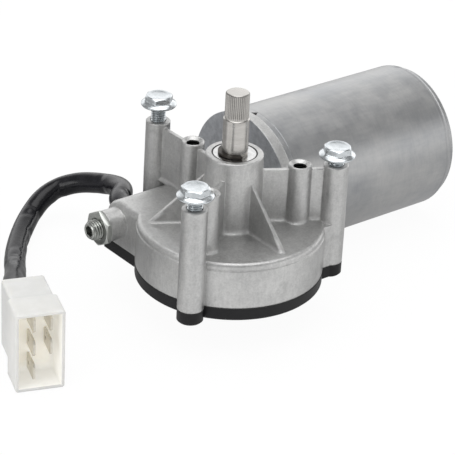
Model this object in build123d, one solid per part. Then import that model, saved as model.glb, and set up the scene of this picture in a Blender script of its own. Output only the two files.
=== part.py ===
from build123d import *
from math import atan, cos, degrees, hypot, pi, radians, sin, tan
import os

# Windscreen-wiper motor with a worm gearbox: a round motor can bolted behind a die-cast gear case,
# whose serrated output shaft stands between six mounting bosses, and a sleeved cable to a plug.
# Millimetres. +Z is the output shaft's axis, pointing out of the gear case. +X is the motor's
# direction, from the gear case towards the can's rear. The origin is where the output shaft's axis
# meets the plane of the six boss tops, the plane that bolts to a bracket.

# Output shaft
journal_r = 5.0
serration_r = 4.57
serration_length = 10.4
shaft_reach = 30.3
circlip_thick = 0.9
circlip_lift = 0.1
circlip_groove = 0.5
circlip_r = 6.4
circlip_gap_angle = 130.0
circlip_gap_turn = 324.0

# Worm gear set, measured in the wheel's middle plane
gear_module = 1.25
wheel_teeth = 48
worm_pitch_r = 5.0
wheel_width = 10.0
backlash = 0.36
tooth_flank_angle = 20.0
worm_half_length = 13.0
root_clearance = 0.3

# Gear case
running_gap = 0.05
wheel_gap = 1.45
drum_wall = 3.7
drum_drop = 23.4
drum_height = 18.2
roof_thick = 2.6
drum_edge_r = 1.6
drum_step_drop = 2.5
drum_step_depth = 0.4
tunnel_r = 8.6
tunnel_end_wall = 3.0
tunnel_edge_r = 2.4
chamber_gap = 0.5
bearing_boss_r = 11.06
bearing_boss_rise = 5.3
bearing_boss_draft = 0.5
bearing_boss_foot = 2.0
long_post_r = 4.84
long_post_draft = 0.22
post_offset = 3.05
front_post_angle = 30.5
corner_block_inset = 0.9
back_post_offset = 4.5
long_hole_r = 3.1
long_hole_depth = 22.0
short_boss_r = 4.55
short_boss_circle_r = 25.5
short_hole_r = 2.5
short_hole_depth = 20.0
boss_foot = 1.5
web_thick = 2.6
web_crown = 2.0
web_drop = 2.0
gusset_drop = 3.3
gusset_reach = 31.7
gusset_thick = 1.8
gusset_crown = 0.9
neck_r = 6.3
neck_length = 7.1

# Motor flange and can
flange_thick = 4.6
flange_setback = 0.3
can_r = 30.25
can_length = 84.8
can_wall = 2.0
can_shoulder_r = 2.4
flange_proud = 0.05
spigot_length = 3.0
spigot_wall = 2.2
stake_width = 5.0
stake_depth = 2.4
stake_angles = (0.0, 180.0)
cap_thick = 1.5
cap_inset = 1.6
cap_lip = 1.0
cap_seat = 1.2

# Cover, gasket and their screws
gasket_thick = 0.6
cover_height = 4.8
cover_floor = 2.2
cover_screw_r = 2.4
cover_screw_head_r = 3.7
cover_screw_head = 1.9
cover_screw_sink = 2.3
cover_screw_length = 12.0

# Bolts, end-play screw and lock nut
bolt_r = 2.95
bolt_length = 22.0
bolt_flange_r = 7.0
bolt_flange_thick = 1.0
bolt_head_height = 4.2
bolt_hex_af = 10.0
bolt_gaps = (6.5, 4.6, 3.2)
bolt_turns = (10.0, 40.0, 25.0)
set_screw_r = 3.95
set_screw_out = 3.9
set_screw_socket_af = 4.0
nut_af = 13.0
nut_thick = 2.8
thread_gap = 0.1

# Bearings and thrust pieces
bush_wall = 2.5
bush_length = 12.0
washer_r = 8.2
washer_thick = 0.8
washer_rim_gap = 0.2
thrust_washer_r = 9.0
tip_journal_r = 3.0
tip_bush_length = 8.5
thrust_pad_thick = 1.4
ball_bearing_r = 11.0
ball_bearing_width = 7.0
bearing_ring = 1.8
seal_thick = 0.8
seal_inset = 0.3
seal_gap = 0.3
rear_bush_r = 7.5
rear_bush_length = 6.5

# Armature, magnets and brushes
shaft_r = 4.0
slot_count = 12
slot_mouth = 2.2
slot_root_share = 0.534
slot_width_share = 0.868
winding_thick = 5.5
winding_to_bush = 6.1
magnet_thick = 7.05
magnet_overhang = 6.0
magnet_angle = 132.0
air_gap = 0.6
commutator_r = 11.0
commutator_length = 11.0
bar_depth = 3.0
bar_gap = 0.5
riser_height = 1.4
riser_thick = 1.5
brush_plate_thick = 2.0
brush_width = 5.0
brush_depth = 4.2
brush_length = 8.5
brush_box_wall = 0.7
brush_angles = (90.0, 150.0, 270.0)

# Wheel web, hub plate and park switch
wheel_rim = 3.6
wheel_web = 4.0
hub_r = 12.0
hub_plate_r = 10.5
hub_plate_thick = 1.6
rivet_length = 1.0
track_thick = 0.5
track_inner_r = 13.0
track_outer_r = 22.5
park_gap_angle = 24.0
park_gap_depth = 4.5
track_recess = 2.0
track_rim_gap = 0.8
finger_thick = 0.4
finger_knee_x = -3.0
finger_tip_x = 2.0
finger_margin = 1.0
finger_width = 2.4
finger_pitch = 3.2
finger_gap = 0.3
carrier_thick = 1.0
carrier_x = -22.0
carrier_length = 8.0

# Cable and plug
cable_r = 4.3
gland_x = -13.0
gland_drop = 13.6
grommet_r = 5.2
grommet_recess = 1.3
grommet_length = 3.2
grommet_flange = 1.2
plug_width = 18.4
plug_height = 32.1
plug_length = 28.3
plug_turn = -20.0
plug_front = (-93.9, -9.8)
plug_wall = 1.3
plug_side_step = 1.1
plug_top_step = 0.3
plug_bottom_step = 4.2
plug_step_length = 13.0
plug_socket_depth = 11.8
tab_width = 6.3
tab_thick = 0.8
tab_columns = (-1.8, 4.5)
tab_middle = 16.3
tab_row_pitch = 9.85
tab_reach = 10.0
tab_shoulder = 0.5
tab_tail_width = 3.0
tab_tail_end = 3.0
tab_hole_r = 0.8
tab_seat_gap = 0.15
cable_route = [
    (-4.6, 68.4, -38.0),
    (-1.7, 82.5, -42.3),
    (-6.8, 97.5, -46.3),
    (-16.7, 102.0, -51.5),
    (-28.7, 96.5, -56.5),
    (-40.9, 85.0, -57.9),
    (-52.0, 71.4, -57.9),
    (-60.5, 57.3, -56.0),
    (-70.2, 44.3, -50.0),
]
cable_first_run = 10.2
cable_last_run = 12.0

# Places that follow from the sizes above
wheel_pitch_r = gear_module * wheel_teeth / 2
wheel_tip_r = wheel_pitch_r + gear_module
worm_tip_r = worm_pitch_r + gear_module
worm_root_r = worm_pitch_r - gear_module - root_clearance
lead = pi * gear_module
lead_angle = degrees(atan(lead / (2 * pi * worm_pitch_r)))
axis_y = wheel_pitch_r + worm_pitch_r
drum_inner_r = wheel_tip_r + wheel_gap
drum_r = drum_inner_r + drum_wall
drum_top = -drum_drop
cover_top = drum_top - drum_height
roof_bottom = drum_top - roof_thick
axis_z = drum_top - tunnel_r
wheel_top = axis_z + wheel_width / 2
wheel_bottom = axis_z - wheel_width / 2
chamber_r = worm_tip_r + chamber_gap
block_back = axis_y + tunnel_r
flange_front = drum_inner_r + flange_setback
flange_back = flange_front + flange_thick
flange_r = can_r + flange_proud
can_inner_r = can_r - can_wall
can_rear = flange_back + can_length
floor_z = axis_z - flange_r
tip_bush_start = -(worm_half_length + 1.5)
tip_bush_end = tip_bush_start - tip_bush_length
shaft_tip = tip_bush_end - 0.2
pad_end = shaft_tip - 0.2 - thrust_pad_thick
chamber_end = pad_end - 0.2
tunnel_left = chamber_end - tunnel_end_wall
neck_end = tunnel_left - neck_length
nut_end = neck_end - nut_thick
screw_end = nut_end - set_screw_out
bush_outer_r = journal_r + bush_wall
gasket_bottom = cover_top - gasket_thick
cover_bottom = gasket_bottom - cover_height
cover_inside = cover_bottom + cover_floor
front_post_r = drum_r + post_offset
back_post_y = block_back + back_post_offset
post_base_r = long_post_r + long_post_draft
long_posts = [(0.0, back_post_y)] + [
    (front_post_r * cos(radians(a)), front_post_r * sin(radians(a)))
    for a in (180 + front_post_angle, -front_post_angle)
]
web_angles = (90.0, 210.0, 330.0)
gusset_angles = (30.0, 150.0, 270.0)
gland_z = drum_top - gland_drop
grommet_end = block_back + grommet_length
bearing_start = flange_front + 1.6
bearing_end = bearing_start + ball_bearing_width
hub_ring_end = bearing_end + 1.0
plate_start = hub_ring_end + 1.0
plate_end = plate_start + brush_plate_thick
commutator_start = plate_end + 0.8
commutator_end = commutator_start + commutator_length
core_start = commutator_end + 1.5 + winding_thick
rear_bush_end = can_rear - 0.8
rear_bush_start = rear_bush_end - rear_bush_length
core_end = rear_bush_start - winding_to_bush - winding_thick
core_length = core_end - core_start
magnet_length = core_length + magnet_overhang
shaft_end = rear_bush_end - 0.6
magnet_inner_r = can_inner_r - magnet_thick
core_r = magnet_inner_r - air_gap
slot_root_r = slot_root_share * core_r
slot_depth = core_r - slot_root_r
slot_width = slot_width_share * 2 * pi * slot_root_r / slot_count
brush_middle = plate_end + brush_width / 2 + 0.2 + brush_box_wall
brush_back = commutator_r + 0.3 + brush_length
cable_height = (plug_bottom_step + plug_height - plug_top_step) / 2
tab_places = [(tab_columns[0], tab_middle + row * tab_row_pitch) for row in (-1, 0, 1)]
tab_places += [(tab_columns[1], tab_middle + row * tab_row_pitch) for row in (0, 1)]

UPWARD = (Align.CENTER, Align.CENTER, Align.MIN)


def upright(radius, bottom, top, x=0.0, y=0.0):
    """A cylinder standing on z = bottom."""
    return Pos(x, y, bottom) * Cylinder(radius, top - bottom, align=UPWARD)


def along(radius, start, end, y=None, z=None):
    """A cylinder that runs along X, about the motor's axis unless another is given."""
    y = axis_y if y is None else y
    z = axis_z if z is None else z
    return Pos(start, y, z) * Rot(0, 90, 0) * Cylinder(radius, end - start, align=UPWARD)


def ring(outer, inner, bottom, top):
    return upright(outer, bottom, top) - upright(inner, bottom - 1, top + 1)


def collar(outer, inner, start, end):
    return along(outer, start, end) - along(inner, start - 1, end + 1)


def block(x0, x1, y0, y1, z0, z1):
    """A box between two corners."""
    return Pos(x0, y0, z0) * Box(x1 - x0, y1 - y0, z1 - z0, align=(Align.MIN,) * 3)


def turned(points):
    """Revolves a closed outline of (radius, height) points about Z."""
    return revolve(Plane.XZ * make_face(Polyline(*points, close=True)), axis=Axis.Z)


def hexagon(across_flats):
    return RegularPolygon(across_flats / 2, 6, major_radius=False)


def save(name, solids):
    """Writes one node: a single solid, or a list of like ones."""
    shape = Compound(children=list(solids)) if isinstance(solids, list) else solids
    export_step(shape, f"parts/{name}.step")


def flared_post(top_r, base_r, foot, bottom, top, edge=0.4):
    """A cast boss: a drafted post with a rounded foot and a broken top edge."""
    bend = foot * (1 - cos(radians(45)))
    side = Polyline((base_r, bottom + foot), (top_r, top - edge), (top_r - edge, top), (0, top),
                    (0, bottom), (base_r + foot, bottom))
    heel = ThreePointArc((base_r + foot, bottom), (base_r + bend, bottom + bend),
                         (base_r, bottom + foot))
    return revolve(Plane.XZ * make_face(side + heel), axis=Axis.Z)


def web(angle, inner, outer, bottom, top, thick=web_thick, crown_thick=web_crown):
    """A radial cast web: thinner at the top, with a rounded foot along both sides."""
    half, crown, foot = thick / 2, crown_thick / 2, boss_foot
    bend = foot * (1 - cos(radians(45)))
    heels = [ThreePointArc((s * (half + foot), bottom), (s * (half + bend), bottom + bend),
                           (s * half, bottom + foot)) for s in (1, -1)]
    right = Polyline((half, bottom + foot), (crown, top - 0.2), (crown - 0.2, top),
                     (0.2 - crown, top), (-crown, top - 0.2), (-half, bottom + foot))
    base = Line((half + foot, bottom), (-half - foot, bottom))
    profile = make_face(Curve() + [heels[0], heels[1], right, base])
    wall = extrude(Plane.YZ.offset(inner) * profile, amount=outer - inner)
    return Rot(0, 0, angle) * wall


def gusset(angle):
    """A triangular rib that falls from the bearing boss to the drum's top."""
    slope = (drum_top + gusset_drop) / (gusset_reach - bearing_boss_r)
    start = bearing_boss_r - 3
    edge = Polyline((start, -gusset_drop - 3 * slope), (gusset_reach, drum_top),
                    (gusset_reach, drum_top - 1), (start, drum_top - 1), close=True)
    wedge = extrude(Plane.XZ * make_face(edge), amount=2 * web_thick, both=True)
    rib = web(angle, start, gusset_reach, drum_top - 0.5, 0.0, gusset_thick, gusset_crown)
    return rib & (Rot(0, 0, angle) * wedge)


def footprint(grow=0.0):
    """The outline of the gear case seen from below: drum, worm block and post lobes."""
    lobe = post_base_r + grow
    shape = Circle(drum_r + grow)
    shape += Pos((tunnel_left + flange_front) / 2, block_back / 2) * Rectangle(
        flange_front - tunnel_left + 2 * grow, block_back + 2 * grow)
    for x, y in long_posts:
        shape += Pos(x, y) * Circle(lobe)
    shape += Pos(0, (block_back + back_post_y) / 2 - 1) * Rectangle(
        2 * lobe, back_post_y - block_back + 2)
    x, y = long_posts[2]
    neck = 2 * (lobe - corner_block_inset)
    return shape + Pos(0.7 * x, y) * Rectangle(0.6 * x, neck)


def drum_shell():
    """The round gear case with a rounded top edge and the shallow step line below it."""
    e, bend = drum_edge_r, drum_edge_r * (1 - cos(radians(45)))
    step_z = drum_top - drum_step_drop
    rim = drum_r - drum_step_depth
    side = Polyline((rim, drum_top - e), (rim, step_z), (drum_r, step_z - drum_step_depth),
                    (drum_r, cover_top), (0, cover_top), (0, drum_top), (rim - e, drum_top))
    edge = ThreePointArc((rim - e, drum_top), (rim - bend, drum_top - bend), (rim, drum_top - e))
    return revolve(Plane.XZ * make_face(side + edge), axis=Axis.Z)


def worm_block():
    """The tunnel over the worm: round at the back and top, straight down to the cover."""
    left = tunnel_left
    tunnel = along(tunnel_r, left, flange_front)
    tunnel += block(left, flange_front, 0, axis_y, cover_top, drum_top)
    tunnel += block(left, flange_front, axis_y, block_back, cover_top, axis_z)
    ends = [e for e in tunnel.edges() if abs(e.center().X - left) < 1e-3
            and e.center().Z > axis_z - 1 and e.center().Y > 1]
    rounded = fillet(ends, tunnel_edge_r)
    return rounded + along(neck_r, neck_end, left + 1)


def case_posts():
    """The bearing boss, three long posts, three short bosses, webs and gussets."""
    foot = drum_top - 0.5
    boss = flared_post(bearing_boss_r, bearing_boss_r + bearing_boss_draft, bearing_boss_foot,
                       foot, bearing_boss_rise)
    roof = upright(drum_r - drum_step_depth - drum_edge_r, foot - 1, 0)
    roof += block(tunnel_left + tunnel_edge_r, flange_front, 0, axis_y, foot - 1, 0)
    for x, y in long_posts:
        post = flared_post(long_post_r, post_base_r, boss_foot, foot, 0)
        core = upright(post_base_r, cover_top, foot + 2 * boss_foot, x, y)
        column = turned([(0, foot), (post_base_r, foot), (long_post_r, -0.4),
                         (long_post_r - 0.4, 0), (0, 0)])
        boss += core + Pos(x, y, 0) * column + (Pos(x, y, 0) * post & roof)
    for angle in web_angles:
        boss += Rot(0, 0, angle) * Pos(short_boss_circle_r, 0, 0) * flared_post(
            short_boss_r, short_boss_r + long_post_draft, boss_foot, foot, 0)
    for angle, (x, y) in zip(web_angles, long_posts):
        boss += web(angle, bearing_boss_r - 2, hypot(x, y), foot, -web_drop)
    for angle in gusset_angles:
        boss += gusset(angle)
    return boss


def motor_flange():
    """The round flange that closes the can, with its spigot and the ball bearing's seat."""
    disc = along(flange_r, flange_front, flange_back)
    spigot = collar(can_inner_r - running_gap, can_inner_r - spigot_wall,
                    flange_back - 1, flange_back + spigot_length)
    seat = along(ball_bearing_r + 3, flange_back - 1, hub_ring_end)
    return disc + spigot + seat


def case_bores():
    """All that is bored or cast out of the gear case."""
    cut = upright(drum_inner_r, cover_top - 1, roof_bottom)
    cut += along(chamber_r, chamber_end, bearing_start + 1)
    cut += along(set_screw_r + thread_gap, neck_end - 1, chamber_end + 1)
    cut += along(ball_bearing_r + 0.02, bearing_start, hub_ring_end + 1)
    cut += upright(bush_outer_r + 0.02, roof_bottom - 1, bearing_boss_rise + 1)
    cut += upright(washer_r + washer_rim_gap, bearing_boss_rise - washer_thick,
                   bearing_boss_rise + 1)
    for x, y in long_posts:
        cut += upright(long_hole_r, -long_hole_depth, 1, x, y)
        cut += upright(cover_screw_r + thread_gap, cover_top - 1,
                       cover_bottom + cover_screw_length + 1, x, y)
    for angle in web_angles:
        cut += Rot(0, 0, angle) * upright(short_hole_r, -short_hole_depth, 1, short_boss_circle_r)
    # The wires pass under the worm, in a channel that the cover closes.
    cut += block(gland_x - 3, gland_x + 3, drum_inner_r - 6, block_back - grommet_recess / 2,
                 cover_top - 1, axis_z - chamber_r - 0.2)
    recess = Pos(gland_x, block_back - grommet_recess, gland_z) * Rot(-90, 0, 0) * Cylinder(
        grommet_r - 1.0, grommet_recess + 1, align=UPWARD)
    return cut + recess


def gear_housing():
    # The post beside the motor stands on a corner block, whose front face is square to it.
    plinth = extrude(Pos(0, 0, cover_top) * footprint(), amount=drum_step_drop)
    x, y = long_posts[2]
    half = post_base_r - corner_block_inset
    plinth += block(0.7 * x, x, y - half, y + half, cover_top, drum_top - drum_step_depth)
    plinth += block(-post_base_r, post_base_r, block_back - tunnel_r, back_post_y, cover_top,
                    axis_z)
    body = drum_shell() + worm_block() + plinth + case_posts() + motor_flange()
    return body - case_bores()


def flange_room():
    """The space that the motor flange takes from the cover and its gasket."""
    return along(flange_r + 0.3, flange_front - 0.2, can_rear)


def cover():
    """The black bottom cover: a shallow tray with a rim that carries the gasket."""
    tray = extrude(Pos(0, 0, cover_bottom) * footprint(), amount=cover_height)
    edges = tray.edges().filter_by_position(Axis.Z, cover_bottom - 0.01, cover_bottom + 0.01)
    tray = chamfer(edges, 0.6) - flange_room()
    tray -= upright(drum_inner_r, cover_inside, cover_top)
    for x, y in long_posts:
        tray -= upright(cover_screw_r + thread_gap, cover_bottom - 1, cover_top, x, y)
        tray -= upright(cover_screw_head_r + 0.3, cover_bottom - 1,
                        cover_bottom + cover_screw_sink, x, y)
    return tray


def gasket():
    sheet = extrude(Pos(0, 0, gasket_bottom) * footprint(), amount=gasket_thick)
    sheet -= upright(drum_inner_r, gasket_bottom - 1, cover_top + 1) + flange_room()
    for x, y in long_posts:
        sheet -= upright(cover_screw_r + thread_gap, gasket_bottom - 1, cover_top + 1, x, y)
    return sheet


def cover_screw(x, y):
    """A slotted pan-head screw, its head sunk into the cover's lobe."""
    seat = cover_bottom + cover_screw_sink
    face = seat - cover_screw_head
    tip = cover_bottom + cover_screw_length
    screw = turned([(0, face), (cover_screw_head_r - 0.6, face), (cover_screw_head_r, face + 0.6),
                    (cover_screw_head_r, seat), (cover_screw_r, seat), (cover_screw_r, tip),
                    (0, tip)])
    slot = block(-cover_screw_head_r, cover_screw_head_r, -0.5, 0.5, face - 1, face + 0.8)
    return Pos(x, y, 0) * (screw - slot)


def flange_bolt(x, y, seat, turn):
    """A hexagon flange bolt, its head held above its post by the packing gap."""
    f, top = bolt_flange_thick, bolt_head_height
    hex_r = bolt_hex_af / 2
    corner_r = hex_r / cos(radians(30))
    skirt = turned([(0, 0), (bolt_flange_r - 0.2, 0), (bolt_flange_r, 0.3), (bolt_flange_r, 0.7),
                    (hex_r, f + 1.2), (0, f + 1.2)])
    dome = turned([(0, 0), (corner_r, 0), (corner_r, top - 0.9), (hex_r - 0.4, top), (0, top)])
    head = skirt + (extrude(hexagon(bolt_hex_af), amount=top) & dome)
    shank = turned([(0, 0.5), (bolt_r, 0.5), (bolt_r, 0.8 - bolt_length),
                    (bolt_r - 0.8, -bolt_length), (0, -bolt_length)])
    return Pos(x, y, seat) * Rot(0, 0, turn) * (head + shank)


def set_screw():
    body = along(set_screw_r - 0.6, screw_end, chamber_end)
    body += along(set_screw_r, screw_end + 0.7, chamber_end - 0.2)
    socket = Pos(screw_end, axis_y, axis_z) * Rot(0, 90, 0) * extrude(
        hexagon(set_screw_socket_af), amount=4)
    return body - socket


def lock_nut():
    corner_r = nut_af / 2 / cos(radians(30))
    shape = extrude(hexagon(nut_af), amount=nut_thick)
    shape &= turned([(0, 0), (nut_af / 2, 0), (corner_r, 0.5), (corner_r, nut_thick - 0.5),
                     (nut_af / 2, nut_thick), (0, nut_thick)])
    shape -= upright(set_screw_r + thread_gap, -1, nut_thick + 1)
    return Pos(nut_end, axis_y, axis_z) * Rot(0, 90, 0) * shape


def tooth_outline(tip_r, turn):
    """The wheel's outline: straight-flanked teeth that narrow from root to tip."""
    root_r = wheel_pitch_r - gear_module - root_clearance
    pitch = 2 * pi / wheel_teeth
    half = pitch / 4 - backlash / (4 * wheel_pitch_r)
    lean = tan(radians(tooth_flank_angle))
    half_root = half + lean * (wheel_pitch_r - root_r) / wheel_pitch_r
    half_tip = half - lean * (tip_r - wheel_pitch_r) / wheel_pitch_r
    points = []
    for k in range(wheel_teeth):
        middle = pi / 2 + radians(turn) + (k + 0.5) * pitch
        for offset, r in ((-half_root, root_r), (-half_tip, tip_r), (half_tip, tip_r),
                          (half_root, root_r)):
            points.append((r * cos(middle + offset), r * sin(middle + offset)))
    return Wire.make_polygon([Vector(x, y, 0) for x, y in points], close=True)


def worm_wheel():
    """The moulded wheel: helical rim, thin web with a hub, and the recess for the hub plate."""
    twist = degrees(wheel_width / 2 * tan(radians(lead_angle)) / wheel_pitch_r)
    low = Pos(0, 0, wheel_bottom) * tooth_outline(wheel_tip_r, -twist)
    high = Pos(0, 0, wheel_top) * tooth_outline(wheel_tip_r, twist)
    wheel = Part() + Solid.make_loft([low, high], ruled=True)
    rim_r = wheel_pitch_r - gear_module - root_clearance - wheel_rim
    web_bottom = wheel_bottom + track_recess
    wheel -= ring(rim_r, hub_r, web_bottom + wheel_web, wheel_top + 1)
    wheel -= ring(rim_r, track_outer_r + track_rim_gap, wheel_bottom - 1, web_bottom)
    wheel -= upright(hub_plate_r + running_gap, wheel_bottom - 1, wheel_bottom + hub_plate_thick)
    return wheel - upright(journal_r + 0.02, wheel_bottom - 1, wheel_top + 1)


def worm_shaft():
    """The armature shaft with its single-start worm, cut in one with it."""
    lean = tan(radians(tooth_flank_angle))
    half = pi * gear_module / 4 - backlash / 4
    inner = worm_root_r - 0.3
    wide = half + lean * (worm_pitch_r - inner)
    narrow = half - lean * (worm_tip_r - worm_pitch_r)
    turns = 2 * worm_half_length / lead
    path = Helix(lead, turns * lead, inner, center=(0, 0, -worm_half_length))
    flank = Polyline((inner, -wide), (worm_tip_r, -narrow), (worm_tip_r, narrow), (inner, wide),
                     close=True)
    start = Plane.XZ * Pos(0, -worm_half_length) * make_face(flank)
    thread = sweep(start, path=path, is_frenet=True)
    core = upright(worm_root_r, -worm_half_length - 1.3, worm_half_length + 1.3)
    worm = (core + thread) & upright(worm_tip_r + 1, -worm_half_length, worm_half_length)
    # At rest the thread's crest faces the wheel at x = 0, where the wheel has a tooth gap.
    worm = Rot(0, 0, -90 - 360 * worm_half_length / lead) * worm
    worm = Pos(0, axis_y, axis_z) * Rot(0, 90, 0) * worm
    stem = along(worm_root_r, tip_bush_start + 0.4, worm_half_length + 1.5)
    journal = along(tip_journal_r, shaft_tip, tip_bush_start + 1)
    rear = along(shaft_r, worm_half_length + 1, shaft_end)
    return worm + stem + journal + rear


def output_shaft():
    top = shaft_reach
    base = wheel_bottom - rivet_length
    groove_z = bearing_boss_rise + circlip_lift
    body = turned([(0, base), (journal_r, base), (journal_r, top - serration_length),
                   (serration_r, top - serration_length + 0.5), (serration_r, top - 0.5),
                   (serration_r - 0.5, top), (0, top)])
    body -= ring(journal_r + 1, journal_r - circlip_groove, groove_z,
                 groove_z + circlip_thick)
    return body


def circlip():
    z = bearing_boss_rise + circlip_lift + 0.05
    clip = ring(circlip_r, journal_r - circlip_groove + 0.02, z, z + circlip_thick - 0.1)
    reach = 2 * circlip_r
    mouth = Polyline((0, 0), (reach, -reach * tan(radians(circlip_gap_angle / 2))),
                     (reach, reach * tan(radians(circlip_gap_angle / 2))), close=True)
    cut = extrude(Pos(0, 0, z - 1) * make_face(mouth), amount=circlip_thick + 2)
    return clip - Rot(0, 0, circlip_gap_turn) * cut


def park_track():
    """The brass track under the wheel, with the gap that stops the wiper in its park place."""
    track = ring(track_outer_r, track_inner_r, wheel_bottom - track_thick, wheel_bottom)
    half = park_gap_angle / 2
    outer = track_outer_r + 5
    gap = Polyline((0, 0), (outer * cos(radians(half)), outer * sin(radians(half))),
                   (outer * cos(radians(half)), -outer * sin(radians(half))), close=True)
    sector = extrude(Pos(0, 0, wheel_bottom - 1) * make_face(gap), amount=2)
    sector -= upright(track_outer_r - park_gap_depth, wheel_bottom - 2, wheel_bottom + 2)
    return track - sector


def contact_finger(y):
    """A bent spring strip from its carrier up to the wheel's track."""
    low = cover_inside + carrier_thick
    high = wheel_bottom - track_thick - finger_gap
    t = finger_thick
    root, bend = carrier_x + finger_margin, carrier_x + carrier_length + finger_margin
    knee, tip = finger_knee_x, finger_tip_x
    strip = Polyline((root, low), (bend, low), (knee, high - t), (tip, high - 1.4 * t),
                     (tip, high - 0.4 * t), (knee, high), (bend - t / 2, low + t),
                     (root, low + t), close=True)
    face = Plane.XZ.offset(-y - finger_width / 2) * make_face(strip)
    return extrude(face, amount=finger_width)


def finger_carrier(rows):
    low, high = min(rows) - finger_width, max(rows) + finger_width
    return block(carrier_x, carrier_x + carrier_length, low, high, cover_inside,
                 cover_inside + carrier_thick)


def motor_can():
    """The drawn steel can: a tube with a rounded rear shoulder and a stake notch in front."""
    bend = can_shoulder_r * (1 - cos(radians(45)))
    s = can_shoulder_r
    lip_r, seat = can_inner_r - cap_lip, can_length - cap_seat
    side = Polyline((can_r - s, can_length), (lip_r, can_length), (lip_r, seat),
                    (can_inner_r, seat), (can_inner_r, 0), (can_r, 0), (can_r, can_length - s))
    edge = ThreePointArc((can_r, can_length - s), (can_r - bend, can_length - bend),
                         (can_r - s, can_length))
    tube = revolve(Plane.XZ * make_face(side + edge), axis=Axis.Z)
    tube = Pos(flange_back, axis_y, axis_z) * Rot(0, 90, 0) * tube
    notch = Polyline((flange_back - 1, -stake_width / 2), (flange_back + stake_depth, 0),
                     (flange_back - 1, stake_width / 2), close=True)
    cut = extrude(make_face(notch), amount=can_wall + 2)
    for angle in stake_angles:
        tube -= Pos(0, axis_y, axis_z) * Rot(angle, 0, 0) * Pos(0, 0, can_inner_r - 0.5) * cut
    return tube


def end_cap():
    """The pressed rear cap with the pocket of the rear bush."""
    inside = can_inner_r - cap_lip - running_gap
    cap = along(inside, can_rear - 1.0, can_rear)
    cap += along(can_r - cap_inset, can_rear, can_rear + cap_thick)
    cap += along(rear_bush_r + 2.0, rear_bush_start, can_rear)
    return cap - along(rear_bush_r + 0.02, rear_bush_start - 1, can_rear - 0.7)


def magnet(turn):
    half = magnet_angle / 2
    start = (core_start + core_end - magnet_length) / 2
    shell = collar(can_inner_r - running_gap, magnet_inner_r, start, start + magnet_length)
    far = 2 * can_r
    fan = Polyline((0, 0), (far * cos(radians(half)), far * sin(radians(half))), (far, 0),
                   (far * cos(radians(half)), -far * sin(radians(half))), close=True)
    wedge = Plane.YZ * make_face(fan)
    keep = Pos(start - 1, axis_y, axis_z) * Rot(turn, 0, 0) * extrude(
        wedge, amount=magnet_length + 2)
    return shell & keep


def bearing_rings():
    """Outer and inner rings of the ball bearing."""
    start, end = bearing_start, bearing_end
    outer = collar(ball_bearing_r, ball_bearing_r - bearing_ring, start, end)
    return outer, collar(shaft_r + bearing_ring, shaft_r + 0.01, start, end)


def bearing_seals():
    """The seals that close the bearing over its balls, one at each face."""
    outer, inner = ball_bearing_r - bearing_ring - 0.01, shaft_r + bearing_ring + seal_gap
    starts = (bearing_start + seal_inset, bearing_end - seal_inset - seal_thick)
    return [collar(outer, inner, start, start + seal_thick) for start in starts]


def armature_core():
    """The stack of laminations: twelve teeth with wide tips around round-bottomed slots."""
    section = Circle(core_r) - Circle(shaft_r + 0.01)
    pocket = Pos(core_r - 1.5 - (slot_depth - 1.5) / 2, 0) * Rectangle(
        slot_depth - 1.5, slot_width)
    mouth = Pos(core_r - 1, 0) * Rectangle(3, slot_mouth)
    for k in range(slot_count):
        section -= Rot(0, 0, k * 360 / slot_count) * (pocket + mouth)
    return Pos(core_start, axis_y, axis_z) * Rot(0, 90, 0) * extrude(section, amount=core_length)


def armature_windings():
    """Copper coils: bars through the slots and a rounded head at each end of the core."""
    coil = Pos(core_r - 2.0 - (slot_depth - 2.6) / 2, 0) * Rectangle(
        slot_depth - 2.6, slot_width - 0.4)
    bars = Sketch() + [Rot(0, 0, k * 360 / slot_count) * coil for k in range(slot_count)]
    length = core_end - core_start
    copper = Pos(0, 0, -1) * extrude(bars, amount=length + 2)
    top_r, root_r, e = core_r - 1.4, core_r - slot_depth, 1.4
    head = turned([(root_r, 0), (top_r, 0), (top_r, winding_thick - 2 * e),
                   (top_r - e, winding_thick - 0.5 * e), (top_r - 2 * e, winding_thick - 0.2),
                   (root_r + e, winding_thick - 0.2), (root_r, winding_thick - e)])
    copper += Pos(0, 0, length) * head
    copper += Rot(180, 0, 0) * head
    return Pos(core_start, axis_y, axis_z) * Rot(0, 90, 0) * copper


def commutator_bars():
    """Twelve copper bars around the hub, each with a riser at the coil's end."""
    bars = []
    shell = collar(commutator_r, commutator_r - bar_depth, commutator_start, commutator_end)
    shell += collar(commutator_r + riser_height, commutator_r - bar_depth,
                    commutator_end - riser_thick, commutator_end)
    half = 180 / slot_count - degrees(bar_gap / 2 / commutator_r)
    far = 2 * commutator_r
    fan = Polyline((0, 0), (far, far * tan(radians(half))), (far, -far * tan(radians(half))),
                   close=True)
    wedge = extrude(Plane.YZ * make_face(fan), amount=commutator_length + 2)
    for k in range(slot_count):
        place = Pos(commutator_start - 1, axis_y, axis_z) * Rot(k * 360 / slot_count, 0, 0)
        bars.append(shell & (place * wedge))
    return bars


def brush_frame(angle):
    """The place of one brush: local X points outwards, local Y along the shaft to the plate."""
    return Pos(brush_middle, axis_y, axis_z) * Rot(angle, 0, 0) * Rot(0, 0, 90)


def brush_box(angle):
    w, d = brush_width / 2 + 0.2, brush_depth / 2 + 0.2
    t = brush_box_wall
    near, far = commutator_r + 2.2, brush_back - 1.0
    shell = block(near, far, -w - t, w + t, -d - t, d + t)
    return brush_frame(angle) * (shell - block(near - 1, far + 1, -w, w, -d, d))


def brush(angle):
    near = brush_back - brush_length
    body = block(near, brush_back, -brush_width / 2, brush_width / 2,
                 -brush_depth / 2, brush_depth / 2)
    hollow = Cylinder(commutator_r + 0.3, 4 * commutator_length, rotation=(90, 0, 0))
    return brush_frame(angle) * (body - hollow)


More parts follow.
